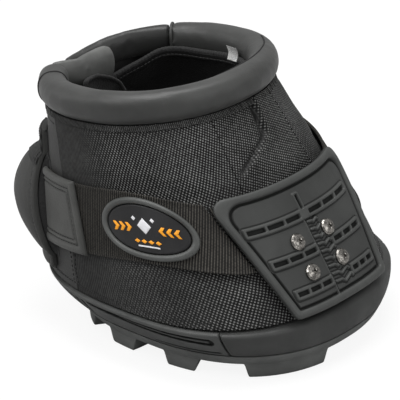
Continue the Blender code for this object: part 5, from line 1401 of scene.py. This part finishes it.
def build_loops(sizes):
    """Keeper loops: hide bands that stand off the boot, a woven top end and two sewn edges."""
    cap_start = 0.75
    for name, side in (("near", -1), ("far", 1)):
        form = loop_form(side, (0.0, 1.0), LOOP_THICK, 0.0, 0.5 * MM)
        new_piece(f"{name}_keeper_loop", form, FINISHES["keeper"], "boot", [f"{name}_heel_loop"])
        form = loop_form(side, (cap_start, 1.0), 1.1 * MM, LOOP_THICK - 0.45 * MM, 0.3 * MM, 1.02, 40.0)
        new_piece(f"{name}_keeper_cap", form, FINISHES["keeper_cap"], "boot")
        # painted shade: a dark sheet that fills the shaded channel between the loop and the boot
        new_piece(f"{name}_keeper_lining", shade_sheet_form(side), FINISHES["binding"], "boot")
        station, width = np.linspace(0.05, 0.97, 260), np.linspace(-0.8, 0.8, 60)
        step_up = LOOP_THICK - 0.35 * MM + 1.0 * MM * smooth(station, cap_start - 0.005, cap_start + 0.01)
        lines = [(station, across, step_up) for across in (-0.82, 0.82)]
        lines += [(level, width, LOOP_THICK + 0.75 * MM) for level in (0.79, 0.965, 0.985)]
        rows = [stitch_row(lambda out: loop_point(side, along, across, out), high, sizes, 1.2)
                for along, across, high in lines]
        new_piece(f"{name}_keeper_stitches", merge(rows), FINISHES["pale_thread"], "boot")


# Badge

def badge_place(x, y, z):
    return strap_place(x + arc_to(-BADGE_ANGLE, STRAP_SHARE), y, z + STRAP_THICK + GAP)


def oval_ring(turn, inset):
    """Point of the badge's oval outline drawn in by an inset."""
    return (BADGE_HALF[0] - inset) * np.cos(turn), (BADGE_HALF[1] - inset) * np.sin(turn)


def raised_shape(outline, low, high):
    """A small inlay: its outline at the foot, at a soft shoulder, and a crowned top to its middle."""
    outline = np.array(outline) * MM
    closed = np.vstack([outline, outline[:1]])
    at = np.linspace(0, len(outline), 6 * len(outline), endpoint=False)
    x, y = (np.interp(at, np.arange(len(closed)), closed[:, k]) for k in (0, 1))
    cx, cy = x.mean(), y.mean()
    rows = []
    for scale, z in ((0.3, low), (1.0, low), (1.0, high - 0.12 * MM), (0.93, high), (0.4, high + 0.03 * MM)):
        rows.append(badge_place(cx + (x - cx) * scale, cy + (y - cy) * scale, z + 0 * x))
    return loft(np.stack(rows), ends="pole")


def build_badge():
    """Oval badge: a rounded frame, a slightly domed field and small generic inlays."""
    turn = np.linspace(0, 2 * math.pi, 180, endpoint=False)
    section = np.radians(np.linspace(0, 180, 17))
    inset = np.concatenate([[0.25 * MM], BADGE_RIM / 2 * (1 - np.cos(section)), [BADGE_RIM - 0.25 * MM]])
    height = 0.5 * MM + (BADGE_RIM_HEIGHT - 0.5 * MM) * np.sin(section) ** 0.8
    x, y = oval_ring(turn[:, None], inset[None, :])
    form = loft(badge_place(x, y, np.concatenate([[0.0], height, [0.0]]) + 0 * x), loop=True)
    new_piece("badge_frame", form, FINISHES["badge_rim"], "strap", ["badge_rim"])
    x, y = oval_ring(turn, BADGE_RIM + GAP)
    levels = [(0.3, 0.0), (0.97, 0.0), (1.0, 0.25 * MM)]
    levels += [(s, 1.3 * MM - 0.5 * MM * smooth(s, 0.96, 1.0) + 0.25 * MM * (1 - s ** 2))
               for s in np.linspace(1.0, 0.05, 24)]
    form = loft(np.stack([badge_place(x * s, y * s, z + 0 * x) for s, z in levels]), ends="pole")
    new_piece("badge_field", form, FINISHES["badge_insert"], "strap", ["badge_insert"])
    arrow = lambda x, y, s: [(x, y + 2.3), (x + 1.5 * s, y + 2.3), (x + 3.4 * s, y), (x + 1.5 * s, y - 2.3),
                             (x, y - 2.3), (x + 1.9 * s, y)]
    gem = lambda x, y, w, h: [(x - w, y), (x, y - h), (x + w, y), (x, y + h)]
    orange = [arrow(-s * x, 0.2, s) for s in (1, -1) for x in (17.5, 13.9, 10.3)]
    orange += [gem(x, -6.6, 1.5, 1.1) for x in (-5.4, -1.8, 1.8, 5.4)]
    pale = [gem(0, 1.6, 3.6, 4.2), gem(-4.9, 5.2, 1.1, 1.3), gem(4.9, 5.2, 1.1, 1.3),
            [(-5.5, -9.6), (5.5, -9.6), (5.5, -8.8), (-5.5, -8.8)]]
    for kind, finish, outlines in (("orange", "orange", orange), ("pale", "white", pale)):
        form = merge([raised_shape(outline, 1.0 * MM, 1.85 * MM) for outline in outlines])
        new_piece(f"badge_{kind}_inlays", form, FINISHES[finish], "strap")


# Front shield and what it hides

def shield_inset(x, y, radii=SHIELD_RADII):
    """Distance inside the shield's outline: the least side distance, turned on a circle at corners."""
    found = side = (shield_half(y) - np.abs(x - SHIELD_CENTRE)) / math.hypot(1, SHIELD_SLOPE)
    for end, radius in ((y - SHIELD_LOW, radii[0]), (SHIELD_LOW + SHIELD_HEIGHT - y, radii[1])):
        turned = radius - np.hypot(np.clip(radius - side, 0, None), np.clip(radius - end, 0, None))
        corner = (side < radius) & (end < radius)
        found = np.where(corner, np.minimum(found, turned), np.minimum(found, end))
    return found


def line_distance(x, y, ends):
    """Distance from each point to the nearest of several joined straight lines."""
    best = np.full(np.broadcast(x, y).shape, 1.0)
    for (ax, ay), (bx, by) in zip(ends[:-1], ends[1:]):
        dx, dy = bx - ax, by - ay
        t = np.clip(((x - ax) * dx + (y - ay) * dy) / (dx * dx + dy * dy), 0, 1)
        best = np.minimum(best, np.hypot(x - ax - t * dx, y - ay - t * dy))
    return best


def box_distance(x, y, x0, x1, y0, y1, corner):
    """Distance inside a rectangle with rounded corners, negative outside."""
    dx = np.abs(x - (x0 + x1) / 2) - (x1 - x0) / 2 + corner
    dy = np.abs(y - (y0 + y1) / 2) - (y1 - y0) / 2 + corner
    past_corner = np.hypot(np.clip(dx, 0, None), np.clip(dy, 0, None))
    return corner - past_corner - np.clip(np.maximum(dx, dy), None, 0)


def raised_block(inside, height):
    """A height within an outline, from the distance inside it, with a soft edge."""
    return height * smooth(inside, -RELIEF_EDGE / 2, RELIEF_EDGE / 2)


def ladder_rib(x, y, start, end, level, relief):
    """A rib over the relief so far: a raised block, a groove round it and deep cells between its rails."""
    half = RIB_WIDTH / 2
    block = box_distance(x, y, start, end, level - half, level + half, 0.9 * MM)
    raised = raised_block(block, RIB_HEIGHT) - 0.4 * MM * bell(block + 0.55 * MM, 0.3 * MM)
    size = (end - start - RIB_RAIL) / RIB_CELLS
    low, high = level - half + RIB_RAIL, level + half - RIB_RAIL
    for left in start + RIB_RAIL + size * np.arange(RIB_CELLS):
        cell = box_distance(x, y, left, left + size - RIB_RAIL, low, high, 0.35 * MM)
        raised -= raised_block(cell, CELL_DEPTH)
    return np.where(block > -1.2 * MM, raised, relief)


def spine_relief(x, y, relief):
    """The slotted stub and the spine over the relief so far: a thin raised line with a groove beside it."""
    stub = box_distance(x, y, SPINE_X - 0.2 * MM, SPINE_X + 3.8 * MM, 46.7 * MM, 61.3 * MM, 0.5 * MM)
    slot = box_distance(x, y, SPINE_X + 0.9 * MM, SPINE_X + 2.7 * MM, 52.3 * MM, 60.2 * MM, 0.3 * MM)
    raised = raised_block(stub, RIB_HEIGHT) - raised_block(slot, CELL_DEPTH)
    raised = np.where(slot > -RELIEF_EDGE, raised, np.maximum(raised, relief))
    relief = np.where(stub > -RELIEF_EDGE, raised, relief)
    line = ridge(x - SPINE_X + 0.4 * MM, 0.4 * MM, RELIEF_EDGE)
    line = line * smooth(y, 3.5 * MM, 4.5 * MM) * (1 - smooth(y, 46.0 * MM, 46.8 * MM))
    relief = np.where(line > 0, np.maximum(relief, 0.7 * MM * line), relief)
    span = smooth(y, 4.0 * MM, 5.0 * MM) * (1 - smooth(y, 45.5 * MM, 46.5 * MM))
    return relief - 0.7 * MM * ridge(x - SPINE_X - 0.55 * MM, 0.35 * MM, 0.4 * MM) * span


def chevron_relief(x, y, relief):
    """Chevrons beside the spine, wider towards the foot: rounded zigzag lines with hollows round them."""
    start = -4.6 * MM
    for i in range(CHEVRONS):
        level = CHEVRON_TOP - i * CHEVRON_PITCH - 0.65 * MM
        reach = (2.6 + 6.0 * i / (CHEVRONS - 1)) * MM
        middle, wing = (start + reach) / 2, 0.55 * (reach - start) / 2
        dip = 2.0 * MM * (reach - start) / (13.2 * MM)
        line = [(start, level), (middle - wing / 2, level - 0.2 * dip), (middle, level - dip),
                (reach - 0.8 * MM, level + 0.1 * dip), (reach, level - 0.6 * dip)]
        away = line_distance(x, y, line)
        relief = relief - 0.5 * MM * bell(away - 1.15 * MM, 0.4 * MM) * (relief < 0.3 * MM)
        raised = ridge(away, 0.6 * MM, RELIEF_EDGE)
        relief = np.where(raised > 0, np.maximum(relief, RIB_HEIGHT * raised), relief)
    return relief


def shield_relief(x, y):
    """Raised work of the shield: round border, groove, ladder ribs, spine and chevrons, flat at screws."""
    inset = shield_inset(x, y)
    inset = inset + (shield_inset(x, y, FIELD_RADII) - inset) * np.clip(inset / BORDER, 0, 1)
    share = np.clip(inset / BORDER, 0, 1)
    relief = 1.4 * MM * np.clip(1 - (2 * share - 1) ** 2, 0, None) ** 0.45
    relief -= 1.2 * MM * bell(inset - BORDER - 0.5 * MM, 0.7 * MM)
    spans = [(near, SPINE_X, level) for near, level in zip(RIB_NEAR_ENDS, RIB_LEVELS)]
    for start, end, level in spans + list(zip(RIB_FAR_STARTS, RIB_FAR_ENDS, RIB_LEVELS)):
        relief = ladder_rib(x, y, start, end, level, relief)
    relief = chevron_relief(x, y, spine_relief(x, y, relief))
    for sx, sy in SCREW_PLACES:
        away = np.hypot(x - sx, y - sy)
        relief = np.where(away < 5.2 * MM, relief * smooth(away, 4.7 * MM, 5.1 * MM), relief)
    return relief


def shield_grid(columns, spacing):
    """Rows up the shield, dense round its corners, each spread evenly between the rounded edges."""
    low_r, high_r = SHIELD_RADII
    low_part = low_r * (1 - np.cos(np.linspace(0, math.pi / 2, 10)[:-1]))
    high_part = SHIELD_HEIGHT - high_r * (1 - np.cos(np.linspace(math.pi / 2, 0, 34)[1:]))
    middle = np.linspace(low_r, SHIELD_HEIGHT - high_r, int((SHIELD_HEIGHT - low_r - high_r) / spacing))
    y = SHIELD_LOW + np.concatenate([low_part, middle, high_part])[:, None]
    half = shield_half(y)
    for end, radius in ((y - SHIELD_LOW, low_r), (SHIELD_LOW + SHIELD_HEIGHT - y, high_r)):
        near = np.clip(radius - end, 0, radius)
        half = half - (radius - np.sqrt(radius ** 2 - near ** 2)) * math.hypot(1, SHIELD_SLOPE)
    x = SHIELD_CENTRE + half * np.linspace(-1, 1, columns)[None, :]
    return x, y + 0 * x


def build_shield():
    """Front shield: a relief on a fine grid, closed behind, with its hook pads and the loop panel."""
    x, y = shield_grid(300, 0.3 * MM)
    top = SHIELD_FACE + shield_relief(x, y)
    points, quads, triangles, flat = plaque(front_place, x, y, top, SHIELD_OUT)
    # the relief height goes into the cloth attribute, where the rubber finish paints shade in the hollows and
    # highlight on raised work
    flat[:, 2] = np.where(np.arange(len(flat)) < x.size, flat[:, 2] - SHIELD_FACE, 0.0)
    new_piece("front_shield_rubber", (points, quads, triangles, flat), FINISHES["shield"], "shield",
              ["front_shield"])
    under, pad_edge = SHIELD_OUT - GAP - PAD_THICK, 0.3 * PAD_THICK
    for name, body, across, up, count, edge, foot, thick, radius in (
            ("hook_pad_side", "shield", (21.0, 33.0), (12.0, 60.0), 24, 0.5, under, PAD_THICK, pad_edge),
            ("hook_pad_low", "shield", (-27.0, 12.0), (5.0, 12.5), 24, 0.5, under, PAD_THICK, pad_edge),
            ("loop_panel", "boot", (-31.0, 31.0), (5.0, 64.0), 60, 0.4, GAP, 0.5 * MM, 0.2 * MM)):
        x, y = (even_ends(low * MM, high * MM, count, edge * MM) for low, high in (across, up))
        form = slab(lambda px, py, pz: front_place(px, py, foot + pz), x, y, thick, radius)
        new_piece(f"{name}_pile", form, FINISHES["hook_and_loop"], body, [name])


def screw_form(x, y):
    """Pan head with a crossed recess: radii from the middle out, over the dome, down and under."""
    origin = front_place(x, y, SHIELD_FACE + GAP)
    normal = unit(front_place(x, y, SHIELD_FACE + 2 * MM) - origin)
    up = unit(np.array((0.0, 0.0, 1.0)) - normal * normal[2])
    side = np.cross(up, normal)
    turn = np.linspace(0, 2 * math.pi, 96, endpoint=False)[None, :]
    radius = np.concatenate([[0.15], np.linspace(0.35, 4.3, 30), [4.45, 4.5, 4.5, 4.4, 2.0]])[:, None] * MM
    dome = SCREW_HEIGHT * np.clip(1 - (radius / (SCREW_RADIUS * 1.02)) ** 2.6, 0, 1) ** 0.55
    dome[-3:] = np.array([[0.25], [0.0], [0.0]]) * MM
    px, py = radius * np.cos(turn + 0.5), radius * np.sin(turn + 0.5)
    thin, long = (0.55 * MM, 0.35 * MM), (2.5 * MM, 0.4 * MM)
    cross = np.maximum(ridge(px, *thin) * ridge(py, *long), ridge(py, *thin) * ridge(px, *long))
    height = dome - 1.2 * MM * cross * (radius < 3.2 * MM)
    points = origin + radius[..., None] * (np.cos(turn)[..., None] * side + np.sin(turn)[..., None] * up)
    return loft(points + height[..., None] * normal, ends="pole")


def build_fasteners():
    """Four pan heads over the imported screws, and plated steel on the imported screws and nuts."""
    for number, (x, y) in enumerate(SCREW_PLACES, 1):
        new_piece(f"shield_screw_head_{number}", screw_form(x, y), FINISHES["steel"], "shield")
    for name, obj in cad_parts.items():
        if name.startswith(("tee_nut", "shield_screw")):
            obj.data.materials.clear()
            obj.data.materials.append(FINISHES["steel"])


# Light, floor and camera

def build_floor(look):
    """A pale floor that the camera sees as nearly plain white."""
    half = FLOOR_HALF
    mesh = bpy.data.meshes.new("floor")
    corners = [(-half, -half, 0), (half, -half, 0), (half, half, 0), (-half, half, 0)]
    mesh.from_pydata(corners, [], [(0, 1, 2, 3)])
    floor = bpy.data.objects.new("floor", mesh)
    bpy.context.scene.collection.objects.link(floor)
    floor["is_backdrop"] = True
    material = bpy.data.materials.new("pale_floor")
    material.use_nodes = True
    tree = material.node_tree
    tree.nodes.clear()
    camera_ray = node(tree, "ShaderNodeLightPath").outputs["Is Camera Ray"]
    colour = mixed(tree, camera_ray, grey(look.floor_bounce), grey(0.88))
    paper = node(tree, "ShaderNodeBsdfDiffuse", {"Color": colour}).outputs[0]
    glow = node(tree, "ShaderNodeEmission", {"Color": WHITE, "Strength": 1.06}).outputs[0]
    seen = maths(tree, "MULTIPLY", camera_ray, look.floor_glow)
    surface = node(tree, "ShaderNodeMixShader", {0: seen, 1: paper, 2: glow}).outputs[0]
    node(tree, "ShaderNodeOutputMaterial", {"Surface": surface})
    mesh.materials.append(material)


def build_world(look):
    """An even world, plain white to the camera and dimmer as a light."""
    world = bpy.data.worlds.new("plain_studio")
    world.use_nodes = True
    bpy.context.scene.world = world
    tree = world.node_tree
    tree.nodes.clear()
    rays = node(tree, "ShaderNodeLightPath").outputs
    seen = maths(tree, "MAXIMUM", rays["Is Camera Ray"], rays["Is Transmission Ray"])
    dim, white = (node(tree, "ShaderNodeBackground", {"Color": WHITE, "Strength": level}).outputs[0]
                  for level in (look.world_level, 1.0))
    surface = node(tree, "ShaderNodeMixShader", {0: seen, 1: dim, 2: white}).outputs[0]
    node(tree, "ShaderNodeOutputWorld", {"Surface": surface})


def build_stage(look):
    """Pale floor, soft lamps, plain world and the camera of the picture."""
    scene = bpy.context.scene
    scene.view_settings.view_transform = "Standard"
    build_floor(look)
    build_world(look)
    for name, place, size, power in (("key", (-0.35, -1.15, 1.65), 1.0, look.key_power),
                                     ("fill", (1.5, 0.1, 0.9), 1.2, look.fill_power),
                                     ("side", (-1.3, -0.9, 0.55), 0.9, look.side_power),
                                     ("top", (-0.15, 0.15, 1.7), 1.0, look.top_power)):
        lamp = bpy.data.lights.new(name, "AREA")
        lamp.size, lamp.energy = size, power
        holder = bpy.data.objects.new(name, lamp)
        holder.location = place
        holder.rotation_euler = (AIM - Vector(place)).to_track_quat("-Z", "Y").to_euler()
        scene.collection.objects.link(holder)
    camera = bpy.data.objects.new("camera", bpy.data.cameras.new("camera"))
    camera.data.sensor_width, camera.data.lens = SENSOR, LENS
    camera.data.clip_start, camera.data.clip_end = 0.05, 20.0
    back = -Vector(CAMERA_VIEW).normalized()
    side = Vector(CAMERA_UP).cross(back).normalized()
    turned = Matrix((side, back.cross(side), back)).transposed().to_4x4()
    camera.matrix_world = Matrix.Translation(CAMERA_PLACE) @ turned
    scene.collection.objects.link(camera)
    scene.camera = camera


# The panel's sizes and colours

def amount(name, text, value, **more):
    return bpy.props.FloatProperty(name=name, description=text, default=value, **{"min": 0.0, **more})


def length_property(name, text, value):
    return amount(name, text, value, precision=5, subtype="DISTANCE", unit="LENGTH")


def colour_property(name, text, value):
    return bpy.props.FloatVectorProperty(name=name, description=text, default=value, min=0.0, max=1.0, size=3,
                                         subtype="COLOR")


class BootSizes(bpy.types.PropertyGroup):
    """Sizes of the cloth and its sewing."""
    weave_pitch: length_property("Weave pitch", "Distance between the weave's thread crests", 1.5 * MM)
    rib_pitch: length_property("Rib pitch", "Distance between the ribs of the webbing", 1.3 * MM)
    stitch_spacing: length_property("Stitch spacing", "Distance from one stitch to the next", 2.3 * MM)
    stitch_length: length_property("Stitch length", "Visible length of one stitch", 1.7 * MM)
    thread_radius: length_property("Thread radius", "Half the thickness of the sewing thread", 0.26 * MM)
    side_lean: amount("Side lean", "Turn of the weave on the side panels, in degrees", 28.0)
    front_lean: amount("Front lean", "Turn of the weave on the gusset, in degrees", 28.0)
    pad_pressure: amount("Pad pressure", "Pressure that swells the padded pieces", 6.0)
    pad_start: amount("Pad start", "Size of a padded piece before it swells", 1.05, min=0.5, max=1.2,
                      subtype="FACTOR")


class BootColours(bpy.types.PropertyGroup):
    """Colours of the boot's materials."""
    rubber: colour_property("Rubber", "Sole, cup and bumper", (0.034, 0.035, 0.034))
    shield: colour_property("Shield", "Front shield and badge frame", (0.05, 0.052, 0.05))
    weave_dark: colour_property("Weave dark", "Wells of the woven cloth", (0.0165, 0.0165, 0.0162))
    weave_light: colour_property("Weave light", "Crests of the woven cloth", (0.28, 0.283, 0.276))
    heel_cloth: colour_property("Heel cloth", "Coated cloth round the heel", (0.032, 0.032, 0.031))
    collar: colour_property("Collar", "Padded collar", (0.055, 0.056, 0.054))
    sling: colour_property("Sling", "Heel sling and keeper loops", (0.066, 0.067, 0.063))
    webbing_dark: colour_property("Webbing dark", "Hollows of the strap", (0.015, 0.014, 0.012))
    webbing_light: colour_property("Webbing light", "Ribs of the strap", (0.087, 0.081, 0.07))
    orange: colour_property("Orange", "Inlays of the badge", (0.9, 0.36, 0.02))


class BootLight(bpy.types.PropertyGroup):
    """Levels of the studio light."""
    key_power: amount("Key power", "Main lamp", 10.0, unit="POWER")
    fill_power: amount("Fill power", "Lamp on the right", 4.0, unit="POWER")
    top_power: amount("Top power", "Lamp above", 17.0, unit="POWER")
    side_power: amount("Side power", "Low lamp on the left", 2.5, unit="POWER")
    world_level: amount("World level", "Even light from all round", 0.34)
    floor_glow: amount("Floor whiteness", "Share of plain white that the camera sees", 0.84, max=1.0,
                       subtype="FACTOR")
    floor_bounce: amount("Floor bounce", "How much light the floor sends back up", 0.5, max=1.0,
                         subtype="FACTOR")


class MakeFinishes(bpy.types.Operator):
    """Make every material of the boot"""
    bl_idname = "boot.make_finishes"
    bl_label = "Make Finishes"

    def execute(self, context):
        make_finishes(context.scene.boot_colours, context.scene.boot_sizes)
        return {"FINISHED"}


class AddSole(bpy.types.Operator):
    """Add the outsole, cup, toe bumper and foam pad"""
    bl_idname = "boot.add_sole"
    bl_label = "Add Sole"

    def execute(self, context):
        for name, form, finish, slot, node_name, sharp in (
                ("outsole_tread", outsole_form(), "outsole", "outsole", "outsole", 55),
                ("sole_cup_wall", cup_form(), "cup", "cup", "sole_cup", 60),
                ("toe_bumper_rubber", bumper_form(), "bumper", "cup", "toe_bumper", 60),
                ("insole_foam", insole_form(), "insole", "insole", "insole_pad", 60)):
            new_piece(name, form, FINISHES[finish], "boot", [node_name], sharp)
        return {"FINISHED"}


class AddUpper(bpy.types.Operator):
    """Add the cloth panels, lining and tags"""
    bl_idname = "boot.add_upper"
    bl_label = "Add Upper"

    def execute(self, context):
        build_panels(context.scene.boot_sizes)
        build_liner(context.scene.boot_sizes)
        build_tags()
        return {"FINISHED"}


class AddCollar(bpy.types.Operator):
    """Add the padded collar, its tongue and the closure flap"""
    bl_idname = "boot.add_collar"
    bl_label = "Add Collar"

    def execute(self, context):
        build_collar(context.scene.boot_sizes)
        return {"FINISHED"}


class AddStraps(bpy.types.Operator):
    """Add the webbing, heel sling and keeper loops"""
    bl_idname = "boot.add_straps"
    bl_label = "Add Straps"

    def execute(self, context):
        build_straps()
        build_sling(context.scene.boot_sizes)
        build_loops(context.scene.boot_sizes)
        return {"FINISHED"}


class AddBadge(bpy.types.Operator):
    """Add the oval badge with its inlays"""
    bl_idname = "boot.add_badge"
    bl_label = "Add Badge"

    def execute(self, context):
        build_badge()
        return {"FINISHED"}


class AddShield(bpy.types.Operator):
    """Add the front shield, hook and loop pads and fasteners"""
    bl_idname = "boot.add_shield"
    bl_label = "Add Shield"

    def execute(self, context):
        build_shield()
        build_fasteners()
        return {"FINISHED"}


class AddStage(bpy.types.Operator):
    """Add the floor, lamps, world and camera"""
    bl_idname = "boot.add_stage"
    bl_label = "Add Stage"

    def execute(self, context):
        build_stage(context.scene.boot_light)
        return {"FINISHED"}


class BootPanel(bpy.types.Panel):
    """Lists the boot's sizes, colours and operators"""
    bl_idname = "VIEW3D_PT_hoof_boot"
    bl_label = "Hoof Boot"
    bl_space_type = "VIEW_3D"
    bl_region_type = "UI"
    bl_category = "Hoof Boot"

    def draw(self, context):
        for group in (context.scene.boot_sizes, context.scene.boot_colours, context.scene.boot_light):
            for name in group.bl_rna.properties.keys():
                if name not in ("rna_type", "name"):
                    self.layout.prop(group, name)
        for operator in OPERATORS:
            self.layout.operator(operator.bl_idname)


OPERATORS = (MakeFinishes, AddStage, AddSole, AddUpper, AddCollar, AddStraps, AddBadge, AddShield)
GROUPS = (("boot_sizes", BootSizes), ("boot_colours", BootColours), ("boot_light", BootLight))


def register():
    for name, group in GROUPS:
        bpy.utils.register_class(group)
        setattr(bpy.types.Scene, name, bpy.props.PointerProperty(type=group))
    for kind in (*OPERATORS, BootPanel):
        bpy.utils.register_class(kind)


def unregister():
    for kind in (BootPanel, *reversed(OPERATORS)):
        bpy.utils.unregister_class(kind)
    for name, group in reversed(GROUPS):
        delattr(bpy.types.Scene, name)
        bpy.utils.unregister_class(group)


def main():
    register()
    for operator in OPERATORS:
        family, name = operator.bl_idname.split(".")
        getattr(getattr(bpy.ops, family), name)()
    low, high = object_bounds()
    sizes = {"cad": [list(CAD_LOW), list(CAD_HIGH)], "visual": [list(low), list(high)]}


if __name__ == "__main__":
    main()
